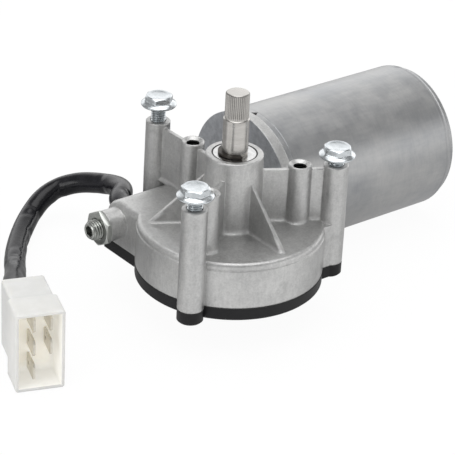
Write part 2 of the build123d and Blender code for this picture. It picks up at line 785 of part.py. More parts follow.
def brush_spring(angle):
    """A flat spring that stands on the plate and presses on the brush's back."""
    touch, heel, plate, t = brush_back + 0.1, brush_back + 1.6, brush_middle - plate_end, 0.5
    strip = Polyline((heel + t, plate), (heel + t, 0.8), (touch + t, -1.2), (touch, -1.2),
                     (touch, -0.7), (heel, 1.1), (heel, plate), close=True)
    return brush_frame(angle) * (Pos(0, 0, -1.2) * extrude(make_face(strip), amount=2.4))


def brush_plate():
    outer, inner = can_inner_r - 0.3, commutator_r + riser_height + 0.6
    plate = collar(outer, inner, plate_start, plate_end)
    for angle in (30, 210):
        plate -= Pos(0, axis_y, axis_z) * Rot(angle, 0, 0) * block(
            plate_start - 1, plate_end + 1, inner + 0.15 * (outer - inner),
            outer - 0.25 * (outer - inner), -3, 3)
    return plate


def grommet():
    """The rubber cable bush in the back of the gear case."""
    flange = Pos(gland_x, block_back, gland_z) * Rot(-90, 0, 0) * (
        Cylinder(grommet_r, grommet_flange, align=UPWARD)
        + Cone(grommet_r - 0.6, cable_r + 0.7, grommet_length, align=UPWARD))
    plug = Pos(gland_x, block_back, gland_z) * Rot(90, 0, 0) * Cylinder(
        grommet_r - 1.05, grommet_recess - 0.1, align=UPWARD)
    return flange + plug


def arc_radii(points):
    """Each corner's radius: 0.45 of the shorter run, over the tangent of half the turn."""
    radii = []
    for a, b, c in zip(points, points[1:], points[2:]):
        run_in, run_out = Vector(*b) - Vector(*a), Vector(*c) - Vector(*b)
        turn = run_in.get_angle(run_out)
        radii.append(0.45 * min(run_in.length, run_out.length) / tan(radians(turn / 2)))
    return radii


def cable_sleeve():
    """The sleeved cable, from the grommet's face to the plug's rear face."""
    start = [(gland_x, grommet_end + run, gland_z) for run in (0, cable_first_run)]
    middle = plug_place() * Pos(0, plug_length, cable_height)
    end = [tuple((middle * Pos(0, run, 0)).position) for run in (cable_last_run, 0)]
    points = start + cable_route + end
    radii = arc_radii(points)
    print("cable radii", [round(r, 1) for r in radii])
    path = FilletPolyline(*points, radius=radii)
    tube = sweep(Plane(path @ 0, z_dir=path % 0) * Circle(cable_r), path=path)
    print("cable length", round(path.length, 1), "volume over section times length",
          round(tube.volume / (pi * cable_r ** 2 * path.length), 4))
    return tube


def plug_place():
    """The plug lies on the floor, turned towards the front left. Local Y points to its rear."""
    return Pos(plug_front[0], plug_front[1], floor_z) * Rot(0, 0, plug_turn)


def tab_outline(gap):
    """A blade seen from its side, in depth and height: a pointed tip, then a narrower tail."""
    tip, shoulder = plug_socket_depth - tab_reach, plug_socket_depth + tab_shoulder
    end = plug_length - tab_tail_end
    half, tail, nose = tab_width / 2 + gap, tab_tail_width / 2 + gap, 1.0
    return make_face(Polyline(
        (tip, -half + nose), (tip + nose, -half), (shoulder + gap, -half),
        (shoulder + gap, -tail), (end + gap, -tail), (end + gap, tail), (shoulder + gap, tail),
        (shoulder + gap, half), (tip + nose, half), (tip, half - nose), close=True))


def plug_housing():
    """A deep shroud in front, and behind it a block that is lower at the bottom and sides."""
    w, h = plug_width / 2, plug_height
    back_w = w - plug_side_step
    shell = block(-w, w, 0, plug_step_length, 0, h)
    shell += block(-back_w, back_w, plug_step_length - 1, plug_length, plug_bottom_step,
                   h - plug_top_step)
    shell = chamfer(shell.edges().filter_by(Axis.Y), 0.5)
    shell -= block(-w + plug_wall, w - plug_wall, -1, plug_socket_depth, plug_wall, h - plug_wall)
    for x, z in tab_places:
        half = tab_thick / 2 + tab_seat_gap
        seat = extrude(Plane.YZ.offset(x - half) * tab_outline(tab_seat_gap), amount=2 * half)
        shell -= Pos(0, 0, z) * seat
    return plug_place() * shell


def plug_tab(x, z):
    """A flat blade with a pointed tip and a small hole near its root."""
    blade = tab_outline(0) - Pos(plug_socket_depth - 2.6, 0) * Circle(tab_hole_r)
    solid = extrude(Plane.YZ.offset(x - tab_thick / 2) * blade, amount=tab_thick)
    return plug_place() * Pos(0, 0, z) * solid


def build_fixed_pieces():
    save("gear_housing", gear_housing())
    save("gear_cover", cover())
    save("cover_gasket", gasket())
    save("cover_screws", [cover_screw(x, y) for x, y in long_posts])
    bolts = zip(long_posts, bolt_gaps, bolt_turns)
    save("mounting_bolts", [flange_bolt(x, y, gap, turn) for (x, y), gap, turn in bolts])
    bore = journal_r + running_gap
    top = bearing_boss_rise - washer_thick
    save("shaft_bush_top", ring(bush_outer_r, bore, top - bush_length, top))
    low = roof_bottom + 0.1
    save("shaft_bush_bottom", ring(bush_outer_r, bore, low, low + bush_length))
    save("shaft_washer", ring(washer_r, bore, top, top + washer_thick - 0.1))
    save("end_play_screw", set_screw())
    save("lock_nut", lock_nut())
    save("thrust_pad", along(chamber_r - 0.1, pad_end, pad_end + thrust_pad_thick))
    save("worm_tip_bush", collar(chamber_r - 0.02, tip_journal_r + running_gap, tip_bush_end,
                                 tip_bush_start))


def build_motor_pieces():
    save("motor_can", motor_can())
    save("rear_end_cap", end_cap())
    save("magnets", [magnet(turn) for turn in (90, 270)])
    save("rear_bush", collar(rear_bush_r, shaft_r + running_gap, rear_bush_start, rear_bush_end))
    save("brush_plate", brush_plate())
    save("brush_boxes", [brush_box(angle) for angle in brush_angles])
    save("brushes", [brush(angle) for angle in brush_angles])
    save("brush_springs", [brush_spring(angle) for angle in brush_angles])
    outer, inner = bearing_rings()
    save("bearing_outer_ring", outer)
    save("bearing_inner_ring", inner)
    save("bearing_seals", bearing_seals())


def build_park_switch():
    middle = -(track_inner_r + track_outer_r) / 2
    rows = [middle + k * finger_pitch for k in (-1, 0, 1)]
    save("contact_fingers", [contact_finger(y) for y in rows])
    save("contact_carrier", finger_carrier(rows))
    save("park_contact_track", park_track())


def build_turning_pieces():
    save("output_shaft", output_shaft())
    save("shaft_circlip", circlip())
    save("worm_wheel", worm_wheel())
    plate = ring(hub_plate_r, journal_r + 0.02, wheel_bottom, wheel_bottom + hub_plate_thick)
    save("wheel_hub_plate", plate)
    gap = (roof_bottom - wheel_top) / 2
    save("wheel_thrust_washer", ring(thrust_washer_r, journal_r + running_gap,
                                     wheel_top + 0.4 * gap, roof_bottom - 0.4 * gap))
    save("armature_shaft", worm_shaft())
    save("armature_core", armature_core())
    save("armature_windings", armature_windings())
    save("commutator_bars", commutator_bars())
    save("commutator_hub", collar(commutator_r - bar_depth - 0.01, shaft_r + 0.01,
                                  commutator_start, commutator_end))


def build_cable():
    save("cable_grommet", grommet())
    save("cable_sleeve", cable_sleeve())
    save("connector_housing", plug_housing())
    save("connector_terminals", [plug_tab(x, z) for x, z in tab_places])


os.makedirs("parts", exist_ok=True)
build_fixed_pieces()
build_motor_pieces()
build_park_switch()
build_turning_pieces()
build_cable()
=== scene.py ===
"""Dressed model of a windscreen-wiper gear motor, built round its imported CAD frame."""

import logging
import math
from dataclasses import dataclass
from enum import Enum
from typing import Callable, Optional, Sequence, Union

import bmesh
import bpy
import numpy as np
from mathutils import Matrix, Vector


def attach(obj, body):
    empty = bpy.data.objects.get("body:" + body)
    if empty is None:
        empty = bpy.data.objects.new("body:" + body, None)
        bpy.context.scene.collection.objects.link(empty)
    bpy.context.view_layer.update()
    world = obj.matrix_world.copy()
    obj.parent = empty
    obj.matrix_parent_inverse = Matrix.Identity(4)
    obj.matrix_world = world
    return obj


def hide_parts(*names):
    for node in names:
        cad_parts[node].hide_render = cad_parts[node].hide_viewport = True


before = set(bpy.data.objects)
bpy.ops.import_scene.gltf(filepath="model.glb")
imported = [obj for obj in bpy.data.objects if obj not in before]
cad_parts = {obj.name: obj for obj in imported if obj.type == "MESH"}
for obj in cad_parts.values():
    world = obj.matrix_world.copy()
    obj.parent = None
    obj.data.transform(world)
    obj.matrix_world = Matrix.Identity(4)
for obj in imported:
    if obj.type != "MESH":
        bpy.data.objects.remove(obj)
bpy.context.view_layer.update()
LOG = logging.getLogger("gear_motor")

MM = 0.001
Colour = tuple[float, float, float]
Point = tuple[float, float, float]


class Axis(Enum):
    """The two directions that turned pieces lie along."""

    SHAFT = "up, along the output shaft"
    MOTOR = "along the armature, towards the can's rear"


class Streak(Enum):
    """The direction in which a finish is drawn out, as the scale of its three coordinates."""

    NONE = (1.0, 1.0, 1.0)
    MOTOR = (0.12, 1.0, 1.0)
    SHAFT = (1.0, 1.0, 0.12)
    ROUND_SHAFT = (0.15, 0.15, 1.0)
    ROUND_MOTOR = (1.0, 0.15, 0.15)


# Shader building
def arithmetic(operation: str, swapped: bool = False) -> Callable[..., "Signal"]:
    """A method that puts a signal, and another value if there is one, into a Math node.

    Args:
        operation: the node's operation.
        swapped: whether the other value comes first.

    Returns:
        The method.
    """
    def method(signal: "Signal", *other: "Value") -> "Signal":
        """Adds the node and returns its output."""
        values = (*other, signal) if swapped else (signal, *other)
        return signal.shade.math(operation, *values)

    return method


class Signal:
    """One shader output that takes part in Python arithmetic."""

    __add__ = __radd__ = arithmetic("ADD")
    __sub__ = arithmetic("SUBTRACT")
    __rsub__ = arithmetic("SUBTRACT", swapped=True)
    __mul__ = __rmul__ = arithmetic("MULTIPLY")
    __pow__ = arithmetic("POWER")
    __abs__ = arithmetic("ABSOLUTE")

    def __init__(self, shade: "Shade", socket: bpy.types.NodeSocket) -> None:
        """Keeps the socket and the tree that it belongs to."""
        self.shade = shade
        self.socket = socket

    def band(self, low: float, high: float) -> "Signal":
        """Rises smoothly from 0 at low to 1 at high, and stays there."""
        return self.shade.node("ShaderNodeMapRange", "Result",
                               {"Value": self, "From Min": low, "From Max": high},
                               interpolation_type="SMOOTHSTEP")

    def fall(self, low: float, high: float) -> "Signal":
        """Falls smoothly from 1 at low to 0 at high, and stays there."""
        return 1.0 - self.band(low, high)


Value = Union[Signal, float]


class Shade:
    """The node tree of a material or a world."""

    def __init__(self, holder: Union[bpy.types.Material, bpy.types.World]) -> None:
        """Starts an empty tree in the material or the world."""
        holder.use_nodes = True
        self.tree = holder.node_tree
        self.tree.nodes.clear()

    def node(self, kind: str, output: Union[str, int, None], values: Optional[dict] = None,
             **settings: str) -> Optional[Signal]:
        """Adds one node.

        Args:
            kind: the node's type.
            output: the name or number of the output that is wanted, or None at the tree's end.
            values: a number, colour or Signal for each named or numbered input.
            settings: the node's own settings, which are set first.

        Returns:
            The output that is wanted.
        """
        made = self.tree.nodes.new(kind)
        for name, value in settings.items():
            setattr(made, name, value)
        for key, value in (values or {}).items():
            socket = made.inputs[key]
            if isinstance(value, Signal):
                self.tree.links.new(value.socket, socket)
            else:
                socket.default_value = (*value, 1.0) if socket.type == "RGBA" else value
        return None if output is None else Signal(self, made.outputs[output])

    def math(self, operation: str, *values: Value) -> Signal:
        """Adds one Math node on numbers and signals, and returns its output."""
        return self.node("ShaderNodeMath", 0, dict(enumerate(values)), operation=operation)

    def coordinates(self, stretch: Sequence[float] = (1.0, 1.0, 1.0),
                    shift: Sequence[float] = (0.0, 0.0, 0.0)) -> Signal:
        """Object coordinates, scaled per axis by stretch and moved by shift (metres)."""
        own = self.node("ShaderNodeTexCoord", "Object")
        return self.node("ShaderNodeMapping", "Vector", {
            "Vector": own, "Scale": tuple(stretch), "Location": tuple(shift)})

    def parts(self, vector: Optional[Signal] = None) -> list[Signal]:
        """A vector's x, y and z; if it is left out, the Object coordinates in millimetres."""
        vector = self.coordinates((1.0 / MM,) * 3) if vector is None else vector
        return [self.node("ShaderNodeSeparateXYZ", axis, {"Vector": vector}) for axis in "XYZ"]

    def attribute(self, name: str) -> Signal:
        """A number that the piece's own mesh carries at each point."""
        return self.node("ShaderNodeAttribute", "Fac", attribute_name=name)

    def noise(self, size: float, detail: float = 4.0, roughness: float = 0.55,
              streak: Streak = Streak.NONE, shift: Sequence[float] = (0.0, 0.0, 0.0)) -> Signal:
        """Cloudy noise from 0 to 1.

        Args:
            size: the width of its largest clouds, in millimetres.
            detail: how many finer octaves it has.
            roughness: how strong those are.
            streak: the direction that it is drawn out in.
            shift: where on the piece it starts, in metres.

        Returns:
            The noise signal.
        """
        return self.node("ShaderNodeTexNoise", 0, {
            "Vector": self.coordinates(streak.value, shift), "Scale": 1.0 / (size * MM),
            "Detail": detail, "Roughness": roughness})

    def cells(self, size: float) -> Signal:
        """Distance to the nearest of scattered points, 0 at each point, for pits and specks."""
        return self.node("ShaderNodeTexVoronoi", "Distance", {
            "Vector": self.coordinates(), "Scale": 1.0 / (size * MM)})

    def blend(self, amount: Value, low: Union[Signal, Colour],
              high: Union[Signal, Colour]) -> Signal:
        """Mixes two colours by an amount from 0 to 1."""
        return self.node("ShaderNodeMix", 2, {0: amount, 6: low, 7: high}, data_type="RGBA")

    def between(self, amount: Value, low: Signal, high: Signal) -> Signal:
        """Mixes two directions by an amount from 0 to 1."""
        return self.node("ShaderNodeMix", 1, {0: amount, 4: low, 5: high}, data_type="VECTOR")

    def bump(self, height: Signal, depth: float, before: Optional[Signal] = None) -> Signal:
        """A Bump node: height from 0 to 1 stands for depth millimetres."""
        values = {"Height": height, "Distance": depth * MM, "Strength": 1.0}
        if before is not None:
            values["Normal"] = before
        return self.node("ShaderNodeBump", "Normal", values)

    def soften(self, radius: float) -> Signal:
        """Normals that round every edge of the piece by radius millimetres."""
        return self.node("ShaderNodeBevel", "Normal", {"Radius": radius * MM}, samples=6)

    def surface(self, **values: Union[Signal, float, Colour]) -> None:
        """Ends the tree in a Principled BSDF.

        Args:
            values: its sockets, with underscores for the spaces in their names.
        """
        sockets = {name.replace("_", " "): value for name, value in values.items()}
        shader = self.node("ShaderNodeBsdfPrincipled", "BSDF", sockets)
        self.node("ShaderNodeOutputMaterial", None, {"Surface": shader})


@dataclass(frozen=True)
class Finish:
    """A finish with slow clouds, fine grain and a softened edge.

    The colour runs from low to high with the clouds, the roughness from smooth to rough, and
    the bump is the grain's depth in millimetres. Where the piece's own mesh attribute falls to 0,
    as in the root of a thread, the colour is multiplied by cavity: painted shade in the recess.
    """

    name: str
    low: Colour
    high: Colour
    metallic: float = 0.0
    smooth: float = 0.35
    rough: float = 0.5
    cloud: float = 6.0
    grain: float = 0.5
    depth: float = 0.01
    streak: Streak = Streak.NONE
    edge: float = 0.0
    coat: float = 0.0
    subsurface: float = 0.0
    cavity: float = 1.0
    specular: float = 0.5

    def material(self) -> bpy.types.Material:
        """The finish's material, made once and then shared by its pieces."""
        made = bpy.data.materials.get(self.name)
        if made is None:
            made = bpy.data.materials.new(self.name)
            self.paint(Shade(made))
        return made

    def darker(self, share: float) -> Colour:
        """The low colour times a share."""
        return tuple(share * part for part in self.low)

    def close(self, shade: Shade, colour: Signal, wear: Signal, normal: Signal,
              **more: Union[Signal, float, Colour]) -> None:
        """Ends the tree, with the sockets that are the same all over the surface.

        Args:
            shade: the tree.
            colour: the surface's colour.
            wear: where it is smooth, at 0, and where it is rough, at 1.
            normal: its direction.
            more: other sockets, with underscores for the spaces in their names.
        """
        if self.coat:
            more.update(Coat_Weight=self.coat, Coat_Roughness=0.08)
        if self.subsurface:
            more.update(Subsurface_Weight=self.subsurface, Subsurface_Scale=0.004,
                        Subsurface_Radius=(1.0, 0.95, 0.85))
        shade.surface(Base_Color=colour, Metallic=self.metallic, Normal=normal,
                      Roughness=self.smooth + (self.rough - self.smooth) * wear,
                      Specular_IOR_Level=self.specular, **more)

    def paint(self, shade: Shade) -> None:
        """Clouds set the colour, clouds and grain the roughness, grain the bump; where cavity is
        below 1, recesses get painted shade.
        """
        clouds = shade.noise(self.cloud, streak=self.streak).band(0.3, 0.7)
        grain = shade.noise(self.grain, 2.0, streak=self.streak)
        colour = shade.blend(clouds * 0.7 + grain * 0.3, self.low, self.high)
        # Painted shade: the colour darkens where the mesh marks a recess, such as a thread's
        # root.
        if self.cavity < 1.0:
            colour = shade.blend(shade.attribute("unshaded"), self.darker(self.cavity), colour)
        normal = shade.bump(grain, self.depth, shade.soften(self.edge) if self.edge else None)
        self.close(shade, colour, clouds * 0.5 + grain * 0.5, normal)


@dataclass(frozen=True)
class CastFinish(Finish):
    """Die-cast aluminium: cold-flow clouds, fine speckle, faint drag lines and dark pits.

    The holes are upright cylinders, each with its x, y and radius, and are painted dark inside
    as painted shade. The motor flange's front disc lies at disc_x and gets a painted bluish
    reflection, and seat is the radius of the painted shade line in the gap round the bearing's
    seat.
    """

    holes: tuple = ()
    flow: float = 24.0
    drag: float = 0.9
    pit: float = 1.3
    smudge: float = 9.0
    pitch: float = 0.9
    foot: float = 2.0
    foot_top: float = -18.5
    drum: float = 33.0
    disc_x: float = 33.0
    seat: float = 8.55
    hole_shade_colours: tuple = ((0.012, 0.012, 0.012), (0.11, 0.11, 0.11))
    disc_reflection_colours: tuple = ((0.43, 0.445, 0.47), (0.60, 0.615, 0.645))
    seat_gap_shade: Colour = (0.02, 0.02, 0.02)

    def outside(self, shade: Shade, axes: Sequence[tuple[float, float, float]]) -> Signal:
        """How far outside the nearest of some upright cylinders a point is, in millimetres.

        Args:
            shade: the tree.
            axes: x, y and radius of each cylinder.

        Returns:
            The smallest of the distances to an axis less that axis' radius.
        """
        x, y, _ = shade.parts()
        gaps = [((x - cx) ** 2.0 + (y - cy) ** 2.0) ** 0.5 - r
                for cx, cy, r in axes]
        nearest = gaps[0]
        for gap in gaps[1:]:
            nearest = shade.math("MINIMUM", nearest, gap)
        return nearest

    def edges(self, shade: Shade) -> Signal:
        """Normals that round the edges: widely at the feet of what stands on the drum's roof,
        and finely everywhere else."""
        low = shade.parts()[2].fall(self.foot_top - 1.5, self.foot_top)
        inner = self.outside(shade, ((0.0, 0.0, self.drum),)).fall(0.0, 1.0)
        return shade.between(low * inner, shade.soften(self.edge), shade.soften(self.foot))

    def paint(self, shade: Shade) -> None:
        """Clouds, drag lines, smudges and speckle tint the skin; the holes get painted shade with
        lighter painted thread lines, the flange's front disc a painted bluish reflection, and the
        gap round the bearing's seat a painted shade line."""
        flow = shade.noise(self.flow, 3.0).band(0.3, 0.7)
        clouds = shade.noise(self.cloud, 5.0, 0.75).band(0.3, 0.7)
        drag = shade.noise(self.drag, 3.0, streak=Streak.SHAFT).band(0.3, 0.7)
        grain = shade.noise(self.grain, 3.0, 0.75).band(0.25, 0.75)
        pits = shade.cells(self.pit).band(0.04, 0.22)
        smudge = shade.noise(self.smudge, 5.0, 0.65, shift=(0.013, 0.004, 0.0)).band(0.56, 0.74)
        mix = flow * 0.26 + clouds * 0.26 + drag * 0.12 + grain * 0.36
        colour = shade.blend(mix, self.low, self.high)
        colour = shade.blend(0.82 + pits * 0.18 - smudge * 0.3, self.darker(0.6), colour)
        x, _, z = shade.parts()
        # Painted shade inside the holes, with lighter painted thread lines across it.
        turns = shade.math("SINE", z * (2 * math.pi / self.pitch)).band(-0.4, 1.0)
        inside = self.outside(shade, self.holes).fall(0.0, 0.1)
        colour = shade.blend(inside, colour, shade.blend(turns, *self.hole_shade_colours))
        # Painted reflection: the flange's front disc, which faces away along -X, takes a dim
        # bluish colour for the dim studio that it reflects.
        facing = shade.parts(shade.node("ShaderNodeNewGeometry", "Normal"))[0]
        disc = abs(x - self.disc_x).fall(0.02, 0.1) * facing.fall(-0.98, -0.9)
        colour = shade.blend(disc, colour, shade.blend(clouds, *self.disc_reflection_colours))
        # Painted shade: a dark line in the gap round the bearing's seat.
        rim = abs(self.outside(shade, ((0.0, 0.0, self.seat),)))
        colour = shade.blend(rim.band(0.15, 0.35), self.seat_gap_shade, colour)
        height = grain * 0.75 + clouds * 0.2 + drag * 0.05
        normal = shade.bump(height, self.depth, self.edges(shade))
        self.close(shade, colour, clouds * 0.4 + grain * 0.6, normal)


@dataclass(frozen=True)
class CanFinish(Finish):
    """Drawn steel: wide soft stains, faint hoop lines, a groove near either end, each with its
    place along the can and half its width, and a nick in the rear shoulder."""

    grooves: tuple = ((39.9, 0.4), (119.3, 0.8))
    groove_depth: float = 0.05
    stain: float = 26.0
    hoop: float = 0.8
    drawn: float = 1.4
    nick: Point = (120.6, 40.0, -3.0)
    nick_depth: float = 1.1

    def paint(self, shade: Shade) -> None:
        """Stains and hoop lines tint the steel; the grooves and the nick are bumps, and are
        darkened as painted shade.
        """
        stain = shade.noise(self.stain, 3.0, 0.5).band(0.3, 0.7)
        clouds = shade.noise(self.cloud, 4.0, 0.6).band(0.25, 0.75)
        hoops = shade.noise(self.hoop, 3.0, 0.6, Streak.ROUND_MOTOR).band(0.3, 0.7)
        grain = shade.noise(self.grain, 3.0, 0.6)
        drawn = shade.noise(self.drawn, 3.0, 0.6, Streak.MOTOR).band(0.3, 0.7)
        mix = stain * 0.36 + clouds * 0.28 + hoops * 0.1 + drawn * 0.1 + grain * 0.16
        colour = shade.blend(mix, self.low, self.high)
        place = shade.parts()
        groove = shade.math("MINIMUM", *(abs(place[0] - at).band(0.05, half)
                                         for at, half in self.grooves))
        away = [(part - at) ** 2.0 for part, at in zip(place, self.nick)]
        dent = ((away[0] + away[1] + away[2]) ** 0.5).band(0.5, 2.8)
        # Painted shade: the grooves and the nick are darker.
        colour = shade.blend(0.85 + groove * 0.15, self.darker(0.5), colour)
        colour = shade.blend(0.5 + dent * 0.5, self.darker(0.3), colour)
        normal = shade.bump(grain * 0.6 + hoops * 0.4, self.depth, shade.soften(self.edge))
        normal = shade.bump(groove, self.groove_depth, normal)
        normal = shade.bump(dent, self.nick_depth, normal)
        self.close(shade, colour, clouds * 0.5 + stain * 0.5, normal)


@dataclass(frozen=True)
class NylonFinish(Finish):
    """Milky nylon: nearly white outside, with a creamy tint where the socket deepens; the tint is
    partly the nylon's own and partly painted light against the socket's shade, and emission
    inside the socket is painted light for what comes through the thin walls.

    The socket reaches half to either side of the plug's middle, end behind its face, and from
    ground up to roof. The creamy tint starts at cream_depth, is full within cream_half of the
    middle, and fades away downwards over cream_rise.
    """

    front: tuple = (-93.9, -9.8)
    turn: float = -20.0
    half: float = 7.95
    end: float = 11.8
    roof: float = -31.45
    ground: float = -61.05
    cream_painted_light: Colour = (0.90, 0.87, 0.80)
    cream_half: float = 4.5
    cream_depth: float = 3.0
    cream_rise: tuple = (-61.0, -55.0)
    painted_glow: Colour = (0.80, 0.77, 0.69)
    painted_glow_strength: float = 0.4

    def paint(self, shade: Shade) -> None:
        """Depth and side come from the plug's own axes: the creamy tint, partly painted light,
        grows with depth in the socket, and the emission, painted light for what comes through the
        thin walls, is less there."""
        clouds = shade.noise(self.cloud, 3.0).band(0.3, 0.7)
        grain = shade.noise(self.grain, 2.0)
        colour = shade.blend(clouds * 0.7 + grain * 0.3, self.low, self.high)
        x, y, z = shade.parts()
        x, y = x - self.front[0], y - self.front[1]
        c, s = math.cos(math.radians(self.turn)), math.sin(math.radians(self.turn))
        side, behind = abs(x * c + y * s), y * c - x * s
        inside = (side.fall(self.half, self.half + 0.1)
                  * behind.fall(self.end + 0.1, self.end + 0.3)
                  * z.fall(self.roof - 0.05, self.roof + 0.05)
                  * z.band(self.ground - 0.05, self.ground + 0.05))
        # The creamy tint deep in the socket is partly the nylon's own and partly painted light
        # against the socket's shade.
        rise = z.band(*self.cream_rise)
        deep = (inside * side.fall(self.cream_half, self.half) * rise
                * behind.band(self.cream_depth, self.end))
        colour = shade.blend(deep, colour, self.cream_painted_light)
        # Painted light: emission inside the socket stands in for light through the thin walls,
        # less where the creamy tint is full.
        light = shade.blend(inside * (1.0 - deep * 0.45), (0.0, 0.0, 0.0), self.painted_glow)
        normal = shade.bump(grain, self.depth, shade.soften(self.edge))
        self.close(shade, colour, grain, normal, Emission_Color=light,
                   Emission_Strength=self.painted_glow_strength)


LONG_POSTS = ((0.0, 48.1), (-33.99, -20.02), (33.99, -20.02))
SHORT_BOSSES = ((0.0, 25.5), (-22.084, -12.75), (22.084, -12.75))


class Finishes:
    """Every finish of the gear motor."""

    cast = CastFinish("die_cast_aluminium", (0.37, 0.37, 0.37), (0.66, 0.66, 0.65),
                      metallic=0.92, smooth=0.34, rough=0.5, cloud=2.6, grain=0.8, depth=0.04,
                      edge=0.7, holes=tuple((x, y, 3.1) for x, y in LONG_POSTS)
                      + tuple((x, y, 2.5) for x, y in SHORT_BOSSES))
    can = CanFinish("drawn_can_steel", (0.29, 0.30, 0.318), (0.53, 0.527, 0.518), metallic=0.95,
                    smooth=0.34, rough=0.46, cloud=7.0, grain=0.8, depth=0.008, edge=0.4)
    zinc = Finish("bright_zinc", (0.62, 0.66, 0.69), (0.82, 0.84, 0.86), metallic=1.0,
                  smooth=0.16, rough=0.3, cloud=2.2, grain=0.4, depth=0.012, edge=0.15)
    thread_zinc = Finish("bright_zinc_bolt", (0.50, 0.53, 0.55), (0.68, 0.71, 0.73),
                         metallic=1.0, smooth=0.2, rough=0.3, cloud=2.6, grain=0.7,
                         depth=0.004, edge=0.15, cavity=0.7)
    green_zinc = Finish("zinc_with_green_cast", (0.46, 0.48, 0.455), (0.63, 0.64, 0.615),
                        metallic=1.0, smooth=0.26, rough=0.38, cloud=2.6, grain=0.5,
                        depth=0.008, edge=0.15, cavity=0.55)
    ground = Finish("ground_shaft_steel", (0.43, 0.415, 0.395), (0.58, 0.565, 0.54),
                    metallic=1.0, smooth=0.18, rough=0.3, cloud=3.0, grain=0.35, depth=0.004,
                    streak=Streak.ROUND_SHAFT, edge=0.12, cavity=0.6)
    blued = Finish("blued_spring_steel", (0.03, 0.028, 0.026), (0.08, 0.07, 0.06), metallic=0.8,
                   smooth=0.3, rough=0.45, cloud=2.0, grain=0.3, edge=0.1)
    bronze = Finish("sintered_bronze", (0.33, 0.22, 0.11), (0.52, 0.38, 0.22), metallic=0.9,
                    smooth=0.4, rough=0.6, cloud=2.0, grain=0.25, depth=0.03)
    cover = Finish("satin_black_cover", (0.004, 0.004, 0.005), (0.009, 0.009, 0.010),
                   smooth=0.34, rough=0.48, cloud=5.0, grain=0.35, depth=0.02, edge=0.4,
                   specular=0.26)
    gasket = Finish("gasket_rubber", (0.006, 0.006, 0.006), (0.014, 0.014, 0.014), smooth=0.6,
                    rough=0.75, cloud=3.0, grain=0.3, depth=0.03, specular=0.1)
    rubber = Finish("bush_rubber", (0.008, 0.008, 0.008), (0.02, 0.02, 0.02), smooth=0.55,
                    rough=0.7, cloud=3.0, grain=0.3, depth=0.03, edge=0.3)
    vinyl = Finish("glossy_vinyl", (0.004, 0.004, 0.005), (0.013, 0.013, 0.016), smooth=0.16,
                   rough=0.3, cloud=9.0, grain=1.8, depth=0.05, specular=0.3)
    nylon = NylonFinish("milky_nylon", (0.555, 0.555, 0.54), (0.60, 0.60, 0.59), grain=0.8,
                        depth=0.006, edge=0.45, subsurface=0.5)
    tin = Finish("tinned_blade", (0.55, 0.52, 0.45), (0.74, 0.71, 0.64), metallic=0.95,
                 smooth=0.25, rough=0.42, cloud=2.5, grain=0.4, edge=0.08)
    wheel = Finish("wheel_nylon", (0.72, 0.70, 0.62), (0.84, 0.82, 0.75), grain=0.6,
                   edge=0.15, subsurface=0.3)
    brass = Finish("rolled_brass", (0.55, 0.40, 0.16), (0.78, 0.62, 0.30), metallic=1.0,
                   smooth=0.2, rough=0.36, cloud=3.0, grain=0.4, depth=0.008, edge=0.08)
    copper = Finish("enamelled_copper", (0.42, 0.13, 0.05), (0.66, 0.27, 0.12), metallic=0.8,
                    smooth=0.22, rough=0.4, cloud=2.5, grain=0.8, depth=0.12,
                    streak=Streak.MOTOR, coat=0.4)
    laminated = Finish("stacked_laminations", (0.18, 0.18, 0.19), (0.34, 0.34, 0.35),
                       metallic=0.95, smooth=0.34, rough=0.5, cloud=0.9, grain=0.5, depth=0.06,
                       streak=Streak.ROUND_MOTOR)
    ferrite = Finish("sintered_ferrite", (0.035, 0.035, 0.038), (0.07, 0.07, 0.075),
                     smooth=0.5, rough=0.7, cloud=3.0, grain=0.3, depth=0.03)
    phenolic = Finish("phenolic_board", (0.16, 0.08, 0.035), (0.3, 0.16, 0.075), smooth=0.4,
                      rough=0.55, cloud=4.0, grain=0.5, depth=0.02)
    carbon = Finish("pressed_carbon", (0.02, 0.02, 0.02), (0.05, 0.05, 0.05), smooth=0.5,
                    rough=0.7, cloud=1.5, grain=0.25, depth=0.03)
    steel = Finish("bright_bearing_steel", (0.5, 0.5, 0.5), (0.66, 0.66, 0.66), metallic=1.0,
                   smooth=0.12, rough=0.26, cloud=3.0, grain=0.4, depth=0.005)


NODE_FINISHES: tuple[tuple[Finish, str], ...] = (
    (Finishes.cast, "gear_housing"),
    (Finishes.cover, "gear_cover"),
    (Finishes.gasket, "cover_gasket bearing_seals"),
    (Finishes.zinc, "cover_screws mounting_bolts"),
    (Finishes.bronze, "shaft_bush_top shaft_bush_bottom worm_tip_bush rear_bush"),
    (Finishes.steel, "shaft_washer bearing_outer_ring bearing_inner_ring armature_shaft "
                     "wheel_hub_plate wheel_thrust_washer"),
    (Finishes.green_zinc, "end_play_screw lock_nut"),
    (Finishes.wheel, "thrust_pad worm_wheel"),
    (Finishes.can, "motor_can rear_end_cap"),
    (Finishes.ferrite, "magnets"),
    (Finishes.phenolic, "brush_plate contact_carrier commutator_hub"),
    (Finishes.brass, "brush_boxes contact_fingers park_contact_track"),
    (Finishes.carbon, "brushes"),
    (Finishes.blued, "brush_springs shaft_circlip"),
    (Finishes.rubber, "cable_grommet"),
    (Finishes.vinyl, "cable_sleeve"),
    (Finishes.nylon, "connector_housing"),
    (Finishes.tin, "connector_terminals"),
    (Finishes.laminated, "armature_core"),
    (Finishes.copper, "armature_windings commutator_bars"),
    (Finishes.ground, "output_shaft"),
)


